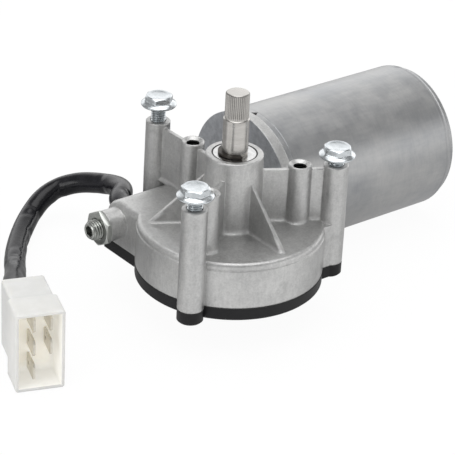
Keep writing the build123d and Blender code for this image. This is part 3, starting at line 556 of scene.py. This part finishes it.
# Surfaces
@dataclass(frozen=True)
class Place:
    """Where a turned piece's own Z axis lies, in millimetres of the shared frame."""

    origin: Point
    axis: Axis = Axis.SHAFT
    turn: float = 0.0

    def put(self, points: np.ndarray) -> np.ndarray:
        """Moves points from the piece's own axes to the frame.

        Args:
            points: an array whose last axis is (x, y, z) about the piece's own Z axis.

        Returns:
            The same array, turned by turn degrees about that axis, laid along it and moved.
        """
        a = math.radians(self.turn)
        x = points[..., 0] * math.cos(a) - points[..., 1] * math.sin(a)
        y = points[..., 0] * math.sin(a) + points[..., 1] * math.cos(a)
        z = points[..., 2]
        turned = (x, y, z) if self.axis is Axis.SHAFT else (z, y, -x)
        return np.stack(turned, -1) + np.array(self.origin)


class Surface:
    """Grids of points, in millimetres, that are joined into one mesh."""

    def __init__(self) -> None:
        """Starts with no grid."""
        self.points: list[np.ndarray] = []
        self.unshaded_grids: list[np.ndarray] = []
        self.faces: list[np.ndarray] = []
        self.count = 0

    def grid(self, points: np.ndarray, wrap_rows: bool = False,
             unshaded: Optional[np.ndarray] = None) -> "Surface":
        """Adds a grid whose columns close into rings.

        Quad (r, c) joins the points (r, c), (r, c+1), (r+1, c+1) and (r+1, c).

        Args:
            points: rows by columns by 3.
            wrap_rows: whether the last row is joined to the first.
            unshaded: rows by columns, 0 in a cavity and 1 elsewhere; 1 all over if left out.

        Returns:
            The surface itself.
        """
        rows, columns = points.shape[:2]
        r, c = np.meshgrid(np.arange(rows if wrap_rows else rows - 1), np.arange(columns),
                           indexing="ij")
        after, beside = (r + 1) % rows, (c + 1) % columns
        quads = np.stack([r * columns + c, r * columns + beside, after * columns + beside,
                          after * columns + c], -1)
        self.faces.append(quads.reshape(-1, 4) + self.count)
        self.points.append(points.reshape(-1, 3))
        # The share of the colour that painted shade leaves: 0 in a cavity, 1 elsewhere.
        shade = np.ones(rows * columns) if unshaded is None else np.asarray(unshaded).reshape(-1)
        self.unshaded_grids.append(shade)
        self.count += rows * columns
        return self

    def to_object(self, name: str, crease: float) -> bpy.types.Object:
        """Makes the mesh: poles are merged, faces turned outwards, edges over crease sharp.

        Args:
            name: the object's name.
            crease: the angle in degrees over which an edge stays sharp.

        Returns:
            The object, linked to the scene, with its place in its mesh.
        """
        mesh = bpy.data.meshes.new(name)
        points = np.concatenate(self.points) * MM
        mesh.from_pydata(points.tolist(), [], np.concatenate(self.faces).tolist())
        # A mesh attribute that carries where painted shade darkens the colour in cavities.
        unshaded = mesh.attributes.new("unshaded", "FLOAT", "POINT")
        unshaded.data.foreach_set("value", np.concatenate(self.unshaded_grids))
        return settle(mesh, name, crease)


def link(name: str, data: bpy.types.ID) -> bpy.types.Object:
    """A new object in the scene for a mesh, curve, camera or lamp."""
    made = bpy.data.objects.new(name, data)
    bpy.context.scene.collection.objects.link(made)
    return made


def settle(mesh: bpy.types.Mesh, name: str, crease: float) -> bpy.types.Object:
    """Merges doubles, turns faces outwards, marks sharp edges and links the object."""
    work = bmesh.new()
    work.from_mesh(mesh)
    bmesh.ops.remove_doubles(work, verts=work.verts, dist=0.001 * MM)
    bmesh.ops.dissolve_degenerate(work, edges=work.edges, dist=0.0005 * MM)
    bmesh.ops.recalc_face_normals(work, faces=work.faces)
    work.to_mesh(mesh)
    work.free()
    mesh.shade_smooth()
    mesh.set_sharp_from_angle(angle=math.radians(crease))
    return link(name, mesh)


def read(rows: bpy.types.bpy_prop_collection, name: str) -> np.ndarray:
    """A vector property of a mesh's rows, as rows by 3."""
    values = np.empty(len(rows) * 3)
    rows.foreach_get(name, values)
    return values.reshape(-1, 3)


def angles(columns: int) -> np.ndarray:
    """The columns' angles: a full turn in even steps."""
    return np.arange(columns) * 2 * np.pi / columns


def profile(*rows: tuple, columns: int) -> tuple[np.ndarray, np.ndarray]:
    """Spreads a profile over its columns.

    Args:
        rows: pairs of radius and height, each of them one number or one per column.
        columns: how many points each ring has.

    Returns:
        Radii and heights, both rows by columns.
    """
    radii, heights = (np.stack([np.broadcast_to(value, columns) for value in side])
                      for side in zip(*rows))
    return radii, heights


def rings(radii: np.ndarray, heights: np.ndarray) -> np.ndarray:
    """Rings about the Z axis: point (r, c) is at radius r, at angle c of a full turn."""
    angle = angles(radii.shape[1])
    return np.stack([radii * np.cos(angle), radii * np.sin(angle), heights], -1)


def hexagon_radii(across_flats: float, columns: int, corner: float = 0.12) -> np.ndarray:
    """The radius of a hexagon at each angle: half its width over the cosine of the angle from
    the nearest flat's middle, held to a rounded corner."""
    off = (angles(columns) + np.pi / 6) % (np.pi / 3) - np.pi / 6
    radii = across_flats / 2 / np.cos(off)
    return np.minimum(radii, across_flats / 2 / math.cos(math.pi / 6) - corner)


def thread_radii(heights: np.ndarray, columns: int, pitch: float, radii: tuple[float, float],
                 tip: float, taper: np.ndarray) -> np.ndarray:
    """A thread with a tapered start.

    At each point the phase is height over pitch less the turn, and the radius goes from root
    to crest and back in straight flanks with small flats.

    Args:
        heights: the rows' heights.
        columns: how many points each ring has.
        pitch: how far one turn rises.
        radii: the thread's radius at its root and at its crest.
        tip: the radius that the taper starts from.
        taper: at each row, how far the taper has come: 0 at the tip, 1 where it ends.

    Returns:
        Rows by columns.
    """
    root, crest = radii
    phase = (heights[:, None] / pitch - np.arange(columns) / columns) % 1.0
    flank = np.clip((np.abs(2 * phase - 1) - 0.12) / 0.74, 0, 1)
    limit = tip + (crest - tip) * np.clip(taper, 0, 1)[:, None]
    return np.minimum(root + (crest - root) * flank, limit)


@dataclass
class Assembly:
    """What the sub-assemblies share: a body to ride on, and how a piece is finished."""

    body: str = "gearmotor"

    def add(self, made: bpy.types.Object, finish: Finish, slot: str,
            stands_for: Sequence[str]) -> bpy.types.Object:
        """Dresses a piece, lets it ride and reports it.

        Args:
            made: the piece.
            finish: what it is dressed in.
            slot: the name of a material slot; not used.
            stands_for: the CAD nodes that it replaces.

        Returns:
            The piece.
        """
        made.data.materials.clear()
        made.data.materials.append(finish.material())
        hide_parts(*stands_for)
        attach(made, self.body)
        LOG.info("%s: %d faces, %s", made.name, len(made.data.polygons), finish.name)
        return made


@dataclass
class GearCase(Assembly):
    """The cast gear case, with countersinks in its short bosses."""

    hole: float = 2.5
    mouth: float = 4.15
    depth: float = 1.1
    near: float = 0.05

    def build(self) -> None:
        """Lowers the upper rims of the short bosses' holes in a copy of the case, so that each
        boss's top falls in a cone from its edge to its hole, and turns the tops' normals
        towards the hole by the cone's slope; all other normals stay the case's own."""
        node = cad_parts["gear_housing"]
        mesh = node.data.copy()
        mesh.transform(node.matrix_world)
        places = read(mesh.vertices, "co") / MM
        normals = read(mesh.corner_normals, "vector")
        corners = np.empty(len(mesh.loops), dtype=np.int32)
        mesh.loops.foreach_get("vertex_index", corners)
        out = places[:, None, :2] - np.array(SHORT_BOSSES)
        far = np.linalg.norm(out, axis=2)
        out = out[np.arange(len(far)), far.argmin(axis=1)]
        far = far.min(axis=1)
        top = (places[:, 2] > -self.near) & (far < self.mouth + self.near)
        slope = self.depth / (self.mouth - self.hole)
        inwards = -out / np.maximum(far, self.near)[:, None]
        cone = np.column_stack([inwards * slope, np.ones(len(far))])
        cone /= np.linalg.norm(cone, axis=1)[:, None]
        turned = top[corners] & (normals[:, 2] > 0.9)
        normals[turned] = cone[corners[turned]]
        places[top & (far < self.hole + self.near), 2] -= self.depth
        mesh.vertices.foreach_set("co", (places * MM).ravel())
        own = mesh.attributes.new("own_normal", "FLOAT_VECTOR", "CORNER")
        own.data.foreach_set("vector", normals.ravel())
        made = settle(mesh, "gear_case_countersunk", 180.0)
        own = mesh.attributes["own_normal"]
        mesh.normals_split_custom_set(read(own.data, "vector").tolist())
        mesh.attributes.remove(own)
        self.add(made, Finishes.cast, "cast_aluminium", ["gear_housing"])


@dataclass
class Bolts(Assembly):
    """The three hexagon flange bolts that stand in the long posts.

    Each seat is how high the flange's underside stands, and how far the bolt is turned.
    """

    thread_r: float = 2.95
    root_r: float = 2.38
    pitch: float = 1.0
    length: float = 22.0
    flange_r: float = 7.0
    flange_rim: float = 0.7
    hexagon: float = 10.0
    head: float = 4.2
    skirt: float = 1.9
    dish_r: float = 3.1
    dish_depth: float = 0.4
    columns: int = 72
    seats: tuple = ((6.5, 10.0), (4.6, 40.0), (3.2, 25.0))

    def head_rows(self) -> list[tuple]:
        """The head's radii and heights, from the dish's middle to the flange's underside."""
        outline = hexagon_radii(self.hexagon, self.columns)
        flat, top, dish, rim = self.hexagon / 2, self.head, self.dish_r, self.flange_r
        crown = top - np.maximum(outline - flat + 0.35, 0) * 0.62
        floor = top - self.dish_depth
        return [
            (0.0, floor), (dish * 0.55, floor + 0.05),
            (dish * 0.9, top - self.dish_depth * 0.55), (dish * 1.12, top - 0.12),
            (dish * 1.22, top), (flat - 0.35, top), (outline - 0.03, crown),
            (outline, crown - 0.15), (outline, 0.5 * (crown - 0.15 + self.skirt)),
            (outline, self.skirt), (outline + 0.12, self.skirt - 0.2), (rim - 0.75, 1.15),
            (rim - 0.2, 0.92), (rim, self.flange_rim), (rim, 0.3), (rim - 0.2, 0.0),
            (self.thread_r + 0.9, 0.0),
        ]

    def build(self) -> None:
        """Each bolt is one closed surface: head, thread with a tapered start, flat end."""
        z = np.arange(-0.1, -self.length, -self.pitch / 7)
        shank = thread_radii(z, self.columns, self.pitch, (self.root_r, self.thread_r),
                             self.root_r - 0.4, (z + self.length) / 1.2)
        radii, heights = profile(*self.head_rows(), *zip(shank, z),
                                 (self.root_r - 0.45, -self.length), (0.0, -self.length),
                                 columns=self.columns)
        # Painted shade: the thread's root is darker, fading to none at its crest.
        depth = (radii - self.root_r) / (self.thread_r - self.root_r)
        unshaded = np.clip(np.where(heights < -0.05, depth, 1.0), 0, 1)
        surface = Surface()
        for (x, y), (seat, turn) in zip(LONG_POSTS, self.seats):
            surface.grid(Place((x, y, seat), turn=turn).put(rings(radii, heights)), unshaded=unshaded)
        self.add(surface.to_object("flange_bolts", 30.0), Finishes.thread_zinc, "zinc_bright",
                 ["mounting_bolts"])


@dataclass
class EndPlayScrew(Assembly):
    """The threaded screw with its hexagon socket, and the lock nut on the gear case's neck."""

    axis_y: float = 35.0
    axis_z: float = -32.0
    start: float = -41.8
    stop: float = -28.2
    thread_r: float = 3.95
    root_r: float = 3.3
    pitch: float = 1.1
    socket: float = 4.0
    nut: float = 13.0
    nut_start: float = -37.9
    nut_stop: float = -35.1
    columns: int = 72

    def build(self) -> None:
        """The screw's rows run from its socket's floor over its face and down its thread."""
        n, length = self.columns, self.stop - self.start
        socket = hexagon_radii(self.socket, n, 0.02)
        z = np.arange(0.45, length, self.pitch / 8)
        thread = thread_radii(z, n, self.pitch, (self.root_r, self.thread_r), 3.0, z / 1.3)
        radii, heights = profile(
            (0.0, 3.6), (socket * 0.97, 3.0), (socket, 2.9), (socket, 0.3), (socket + 0.25, 0.0),
            (2.85, 0.0), (3.05, 0.12), *zip(thread, z), (self.root_r, length), (0.0, length),
            columns=n)
        place = Place((self.start, self.axis_y, self.axis_z), Axis.MOTOR, 12.0)
        # Painted shade: darker in the thread's roots, and on the socket's floor and walls.
        unshaded = np.clip((radii - self.root_r) / (self.thread_r - self.root_r), 0, 1)
        unshaded[:4], unshaded[4:7] = 0.2, 1.0
        screw = Surface().grid(place.put(rings(radii, heights)), unshaded=unshaded)
        self.add(screw.to_object("end_play_screw_threaded", 30.0), Finishes.green_zinc,
                 "zinc_green", ["end_play_screw"])
        self.build_nut()

    def build_nut(self) -> None:
        """A chamfered nut: its outline is a hexagon, and its faces fall off as a cone does."""
        outline = hexagon_radii(self.nut, self.columns)
        thick = self.nut_stop - self.nut_start
        bore, face = self.thread_r + 0.05, self.nut / 2 - 0.25
        fall = np.maximum(outline - face, 0) * 0.58
        under = [(bore, 0.5), (bore + 0.5, 0.0), (face, 0.0), (outline - 0.04, fall),
                 (outline, fall + 0.12)]
        over = [(radius, thick - height) for radius, height in reversed(under)]
        radii, heights = profile((bore, thick / 2), *under, *over, columns=self.columns)
        place = Place((self.nut_start, self.axis_y, self.axis_z), Axis.MOTOR, 30.0)
        nut = Surface().grid(place.put(rings(radii, heights)), wrap_rows=True)
        self.add(nut.to_object("lock_nut_chamfered", 30.0), Finishes.green_zinc, "zinc_green",
                 ["lock_nut"])


@dataclass
class OutputShaft(Assembly):
    """The ground output shaft with its serrated tip."""

    body: str = "output"
    journal_r: float = 5.0
    tip_r: float = 4.57
    root_r: float = 4.25
    bottom: float = -38.0
    groove_z: float = 5.4
    groove_width: float = 0.9
    groove_r: float = 4.5
    serration_start: float = 19.9
    top: float = 30.3
    teeth: int = 36

    def build(self) -> None:
        """A turned profile; above the shoulder the radius is cut by straight, pointed grooves
        that run out in the chamfer."""
        columns = self.teeth * 6
        journal, tip, low, top = self.journal_r, self.tip_r, self.bottom, self.top
        start, groove = self.serration_start, self.groove_z + self.groove_width
        tooth = np.abs((np.arange(columns) * self.teeth / columns) % 1.0 * 2 - 1)
        cut = tip - (tip - self.root_r) * np.clip(1.15 - 1.3 * tooth, 0, 1)
        plain = [(0.0, low), (journal - 0.4, low), (journal, low + 0.4), (journal, self.groove_z),
                 (self.groove_r, self.groove_z + 0.02), (self.groove_r, groove),
                 (journal, groove), (journal, start - 0.25), (journal - 0.2, start)]
        run_in = [(tip + (cut - tip) * share, start + rise)
                  for share, rise in ((0.0, 0.15), (0.25, 0.5), (0.6, 0.9), (1.0, 1.3))]
        ends = [(cut, top - 0.55), (np.minimum(cut, tip - 0.3), top - 0.18), (tip - 0.55, top),
                (0.0, top)]
        radii, heights = profile(*plain, *run_in, *ends, columns=columns)
        # Painted shade: darker in the serrations' roots.
        unshaded = np.clip((radii - self.root_r) / (tip - self.root_r), 0, 1)
        unshaded[:len(plain)], unshaded[-2:] = 1.0, 1.0
        shaft = Surface().grid(rings(radii, heights), unshaded=unshaded)
        self.add(shaft.to_object("output_shaft_serrated", 28.0), Finishes.ground, "shaft_steel",
                 ["output_shaft"])


@dataclass
class Plug(Assembly):
    """The milky plug: a deep shroud in front, and a smaller block behind it."""

    front: Point = (-93.9, -9.8, -62.3)
    turn: float = -20.0
    width: float = 18.4
    height: float = 32.1
    length: float = 28.3
    wall: float = 1.3
    side_step: float = 1.1
    bottom_step: float = 4.2
    top_step: float = 0.3
    step_at: float = 13.0
    socket: float = 11.8
    per_corner: int = 8

    def outline(self, sides: tuple[float, float, float], depth: float, corner: float
                ) -> np.ndarray:
        """A rounded rectangle at a depth behind the plug's face.

        Each corner is a quarter circle of the corner radius about a centre that lies that
        radius inside both sides.

        Args:
            sides: how far it lies inside the plug's sides, bottom and top.
            depth: how far behind the face it lies.
            corner: its corners' radius.

        Returns:
            The outline's points, about the plug's own axes.
        """
        k = self.per_corner
        quarter = np.arange(k) / (k - 1) * np.pi / 2
        angle = np.concatenate([quarter + q * np.pi / 2 for q in range(4)])
        side, low, high = sides
        a, b = self.width / 2 - side, (self.height - low - high) / 2
        corner = min(corner, a, b)
        sign_x = np.repeat([1, -1, -1, 1], k)
        sign_z = np.repeat([1, 1, -1, -1], k)
        x = sign_x * (a - corner) + corner * np.cos(angle)
        z = sign_z * (b - corner) + corner * np.sin(angle)
        return np.stack([x, np.full(4 * k, depth), z + low + b], -1)

    def build(self) -> bpy.types.Object:
        """One closed skin: socket floor, socket wall, rounded lip, sides, step, rear. Each row
        has its inset, its depth behind the face and its corners' radius."""
        w, n, at, end = self.wall, self.width / 2 - 0.01, self.step_at, self.length
        front = [(n, self.socket, 0.01), (w + 0.5, self.socket, 0.5), (w, self.socket - 0.5, 0.6),
                 (w, 0.4, 0.6), (w - 0.12, 0.12, 0.7), (w - 0.3, 0.0, 0.8), (0.35, 0.0, 0.8),
                 (0.1, 0.12, 0.95), (0.0, 0.4, 1.0), (0.0, at - 0.4, 1.0), (0.1, at - 0.1, 1.0),
                 (0.25, at, 0.9)]
        back = [(0.0, at + 0.05, 1.0), (0.0, at + 0.5, 1.0), (0.0, end - 0.6, 1.0),
                (0.15, end - 0.15, 0.9), (0.5, end, 0.7), (n - self.side_step, end, 0.01)]
        steps = (self.side_step, self.bottom_step, self.top_step)
        rows = [self.outline((inset, inset, inset), depth, corner)
                for inset, depth, corner in front]
        rows += [self.outline(tuple(inset + step for step in steps), depth, corner)
                 for inset, depth, corner in back]
        skin = Surface().grid(Place(self.front, turn=self.turn).put(np.stack(rows)))
        return self.add(skin.to_object("plug_shroud", 60.0), Finishes.nylon, "plug_nylon",
                        ["connector_housing"])


@dataclass(frozen=True)
class Dent:
    """A hollow in the sleeve, or a bulge where its depth is negative."""

    at: float
    towards: Point
    depth: float
    along: float
    around: float


@dataclass
class Cable(Assembly):
    """The cables' glossy sleeve, from the gear case's grommet to the plug."""

    radius: float = 4.3
    length: float = 179.6
    columns: int = 64
    spacing: float = 0.5
    seeds: int = 36
    route: tuple = (
        (-13.0, 46.8, -37.0), (-13.0, 57.0, -37.0), (-1.0, 67.0, -38.5), (1.0, 82.0, -42.8),
        (-6.0, 97.0, -46.5), (-16.7, 102.0, -51.5), (-28.7, 96.5, -56.5), (-40.9, 85.0, -57.9),
        (-52.0, 71.4, -57.9), (-60.5, 57.3, -56.0), (-70.2, 44.3, -50.0),
        (-80.117, 28.07, -44.3), (-84.221, 16.793, -44.3))
    dents: tuple = (
        Dent(141.0, (0.45, -0.75, 0.45), 1.5, 3.6, 0.55),
        Dent(147.0, (-0.2, -0.85, 0.4), -0.35, 3.0, 0.9),
        Dent(136.0, (-0.6, -0.6, 0.5), -0.3, 2.6, 0.7),
        Dent(110.0, (-0.5, -0.4, 0.75), 0.7, 3.0, 0.45),
        Dent(102.0, (0.5, -0.8, -0.1), 0.9, 2.4, 0.5),
        Dent(94.0, (0.4, -0.8, 0.2), 0.8, 2.2, 0.5),
        Dent(80.0, (0.2, -0.95, 0.0), 0.8, 2.6, 0.5),
    )

    def centreline(self) -> np.ndarray:
        """Points read from the route's NURBS spline, evenly spaced, in millimetres."""
        curve = bpy.data.curves.new("cable_route", "CURVE")
        curve.dimensions = "3D"
        spline = curve.splines.new("NURBS")
        spline.points.add(len(self.route) - 1)
        for point, (x, y, z) in zip(spline.points, self.route):
            point.co = (x * MM, y * MM, z * MM, 1.0)
        spline.order_u = 3
        spline.use_endpoint_u = True
        curve.resolution_u = 32
        holder = link("cable_route", curve)
        bpy.context.view_layer.update()
        mesh = bpy.data.meshes.new_from_object(holder)
        points = read(mesh.vertices, "co") / MM
        bpy.data.objects.remove(holder)
        bpy.data.meshes.remove(mesh)
        walked = np.concatenate([[0], np.cumsum(np.linalg.norm(np.diff(points, axis=0), axis=1))])
        even = np.linspace(0, walked[-1], int(walked[-1] / self.spacing))
        return np.stack([np.interp(even, walked, points[:, k]) for k in range(3)], -1)

    def creases(self, walked: np.ndarray, angle: np.ndarray, inner: np.ndarray) -> np.ndarray:
        """Scattered folds: each point's depth is the deepest of the hollows round some random
        seeds, squared in its distance; they are longer around the tube than along it, and
        deepest where inner is 1.

        Args:
            walked: each ring's distance along the tube.
            angle: each column's angle.
            inner: rings by columns, 1 on the inside of a tight bend and 0 outside.

        Returns:
            Rings by columns, in millimetres.
        """
        rng = np.random.default_rng(11)
        seeds = rng.uniform((0, 0, -0.5), (self.length, 2 * np.pi, 0.5), (self.seeds, 3))
        turned = (angle[None, :, None] - seeds[:, 1] + np.pi) % (2 * np.pi) - np.pi
        ahead = walked[:, None, None] - seeds[:, 0] - 4 * seeds[:, 2] * turned
        far = np.sqrt((ahead / 3.4) ** 2 + (self.radius * turned / 6.0) ** 2)
        hollow = np.clip(1 - far, 0, 1).max(axis=2) ** 1.4
        return hollow * (0.14 + 0.6 * inner)

    def skin(self, line: np.ndarray, ahead: np.ndarray, outward: np.ndarray) -> np.ndarray:
        """The sleeve's radius at each ring and angle, less folds and dents.

        Args:
            line: the rings' centres.
            ahead: the tube's direction at each ring.
            outward: rings by columns by 3, the direction from the centre to each point.

        Returns:
            Rings by columns, in millimetres.
        """
        walked = np.linspace(0, self.length, len(line))
        bend = np.gradient(ahead, axis=0) / self.spacing
        sharp = np.clip(np.linalg.norm(bend, axis=1) * 16, 0, 1)
        towards = bend / np.maximum(np.linalg.norm(bend, axis=1, keepdims=True), 1e-6)
        side = np.einsum("rcx,rx->rc", outward, towards)
        inner = sharp[:, None] * np.clip(0.35 + side, 0, 1)
        depth = self.creases(walked, angles(self.columns), inner)
        for dent in self.dents:
            aim = np.array(dent.towards) / np.linalg.norm(dent.towards)
            off = np.arccos(np.clip(outward @ aim, -1, 1))
            near = np.exp(-((walked[:, None] - dent.at) / dent.along) ** 2
                          - (off / dent.around) ** 2)
            depth = depth + dent.depth * near
        ends = np.clip(np.minimum(walked, self.length - walked) / 6, 0, 1)[:, None]
        return self.radius - np.maximum(depth * ends, -0.35)

    def build(self, plug: bpy.types.Object) -> None:
        """Carries the skin's rings along the centreline, square to it, with upright frames."""
        line = self.centreline()
        ahead = np.gradient(line, axis=0)
        ahead /= np.linalg.norm(ahead, axis=1, keepdims=True)
        beside = np.cross(ahead, (0.0, 0.0, 1.0))
        beside /= np.linalg.norm(beside, axis=1, keepdims=True)
        above = np.cross(beside, ahead)
        angle = angles(self.columns)[:, None]
        outward = np.cos(angle) * beside[:, None, :] + np.sin(angle) * above[:, None, :]
        tube = line[:, None, :] + self.skin(line, ahead, outward)[..., None] * outward
        ends = [np.repeat(line[k][None, None, :], self.columns, 1) for k in (0, -1)]
        tube = np.concatenate([ends[0], tube, ends[1]])
        sleeve = Surface().grid(tube).to_object("cable_sleeve_wrinkled", 80.0)
        self.add(sleeve, Finishes.vinyl, "sleeve_pvc", ["cable_sleeve"])


# Studio
@dataclass(frozen=True)
class Lamp:
    """A square soft box that faces the part."""

    name: str
    place: Point
    size: float
    power: float


@dataclass(frozen=True)
class Studio:
    """Camera, lamps, world and floor, in metres.

    The way ahead is the camera's over the floor, which lies 0.2 mm below the part.
    """

    eye: Point = (-0.46937, -0.56438, 0.35951)
    target: Point = (-0.00153, 0.0, -0.02631)
    roll: float = 3.11
    focal_pixels: float = 2160.08
    image_pixels: float = 455.0
    sensor: float = 36.0
    ahead: tuple = (0.637, 0.771)
    floor_z: float = -0.0625
    floor_half: float = 6.0
    lamps: tuple = (Lamp("top_box", (0.0, 0.0, 0.95), 1.0, 4.5),
                    Lamp("left_box", (-0.95, -0.1, 0.45), 0.5, 2.2))
    wall_level: float = 0.3
    low_level: float = 0.14
    right_level: float = 0.8
    roof_level: float = 0.9
    plain_level: float = 0.9
    floor_share: float = 0.95

    def camera(self) -> None:
        """Aims the camera and turns it about its own axis by the roll."""
        data = bpy.data.cameras.new("camera")
        data.sensor_width = self.sensor
        data.lens = self.focal_pixels / self.image_pixels * self.sensor
        data.clip_start, data.clip_end = 0.01, 20.0
        made = link("camera", data)
        forward = (Vector(self.target) - Vector(self.eye)).normalized()
        right = forward.cross(Vector((0, 0, 1))).normalized()
        up = right.cross(forward)
        c, s = math.cos(math.radians(self.roll)), math.sin(math.radians(self.roll))
        axes = (right * c + up * s, up * c - right * s, -forward)
        turn = Matrix([[axes[col][row] for col in range(3)] for row in range(3)])
        made.matrix_world = Matrix.Translation(self.eye) @ turn.to_4x4()
        bpy.context.scene.camera = made

    def lamp(self, box: Lamp) -> None:
        """Places one soft box and aims it at the origin."""
        data = bpy.data.lights.new(box.name, "AREA")
        data.shape, data.size, data.energy = "SQUARE", box.size, box.power
        made = link(box.name, data)
        made.location = box.place
        made.rotation_mode = "QUATERNION"
        made.rotation_quaternion = (-Vector(box.place)).to_track_quat("-Z", "Y")

    def plan(self, x: Signal, y: Signal) -> tuple[Signal, Signal]:
        """How far a place lies behind the part and to its right, as the camera sees it."""
        c, s = self.ahead
        return x * c + y * s, x * s - y * c

    def world(self) -> None:
        """White where the camera looks; metal sees it bright overhead, behind the part and low
        on the right, and dim elsewhere."""
        world = bpy.data.worlds.new("studio")
        bpy.context.scene.world = world
        shade = Shade(world)
        seen, through, glossy = (shade.node("ShaderNodeLightPath", f"Is {ray} Ray")
                                 for ray in ("Camera", "Transmission", "Glossy"))
        x, y, height = shade.parts(shade.node("ShaderNodeTexCoord", "Generated"))
        behind, right = self.plan(x, y)
        low = self.low_level + right.band(0.1, 0.8) * self.right_level
        mirrored = (self.wall_level + height.fall(0.3, 0.55) * low
                    + height.band(0.86, 0.97) * self.roof_level
                    + behind.band(0.42, 0.85) * height.fall(0.5, 0.95))
        plain = self.plain_level + (mirrored - self.plain_level) * glossy
        strength = plain + (1.0 - plain) * shade.math("MAXIMUM", seen, through)
        back = shade.node("ShaderNodeBackground", "Background",
                          {"Color": (1.0, 1.0, 1.0), "Strength": strength})
        shade.node("ShaderNodeOutputWorld", None, {"Surface": back})

    def floor(self) -> None:
        """A wide pale floor: most of what the camera sees is its own white, and the rest keeps
        the shadows; metal sees it bright in front and on the right, and dimmer elsewhere."""
        half, z = self.floor_half, self.floor_z
        mesh = bpy.data.meshes.new("floor")
        mesh.from_pydata([(-half, -half, z), (half, -half, z), (half, half, z), (-half, half, z)],
                         [], [(0, 1, 2, 3)])
        made = link("floor", mesh)
        material = bpy.data.materials.new("pale_floor")
        shade = Shade(material)
        x, y, _ = shade.parts()
        behind, right = self.plan(x, y)
        front = (behind * -1.0).band(-10.0, 60.0)
        seen, glossy = (shade.node("ShaderNodeLightPath", f"Is {ray} Ray")
                        for ray in ("Camera", "Glossy"))
        white = shade.blend(1.0 + glossy * (front * 0.58 + right.band(0.0, 120.0) * 0.3 - 0.58),
                            (0.0, 0.0, 0.0), (1.0, 1.0, 1.0))
        matt = shade.node("ShaderNodeBsdfDiffuse", "BSDF", {"Color": (0.9, 0.9, 0.9)})
        own = shade.node("ShaderNodeEmission", "Emission", {"Color": white})
        both = shade.node("ShaderNodeMixShader", "Shader",
                          {0: seen * self.floor_share + glossy, 1: matt, 2: own})
        shade.node("ShaderNodeOutputMaterial", None, {"Surface": both})
        mesh.materials.append(material)

    def build(self) -> None:
        """Sets the view transform, world, lamps and floor."""
        bpy.context.scene.view_settings.view_transform = "Standard"
        self.world()
        for box in self.lamps:
            self.lamp(box)
        self.floor()


def dress_nodes() -> None:
    """Gives every CAD node its finish."""
    for finish, names in NODE_FINISHES:
        for name in names.split():
            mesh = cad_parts[name].data
            mesh.materials.clear()
            mesh.materials.append(finish.material())


def main() -> None:
    """Builds the sub-assemblies in order and reports each piece."""
    logging.basicConfig(level=logging.INFO, format="%(name)s %(message)s")
    studio = Studio()
    studio.camera()
    plug = Plug().build()
    Cable().build(plug)
    studio.build()
    dress_nodes()
    GearCase().build()
    Bolts().build()
    EndPlayScrew().build()
    OutputShaft().build()


if __name__ == "__main__":
    main()
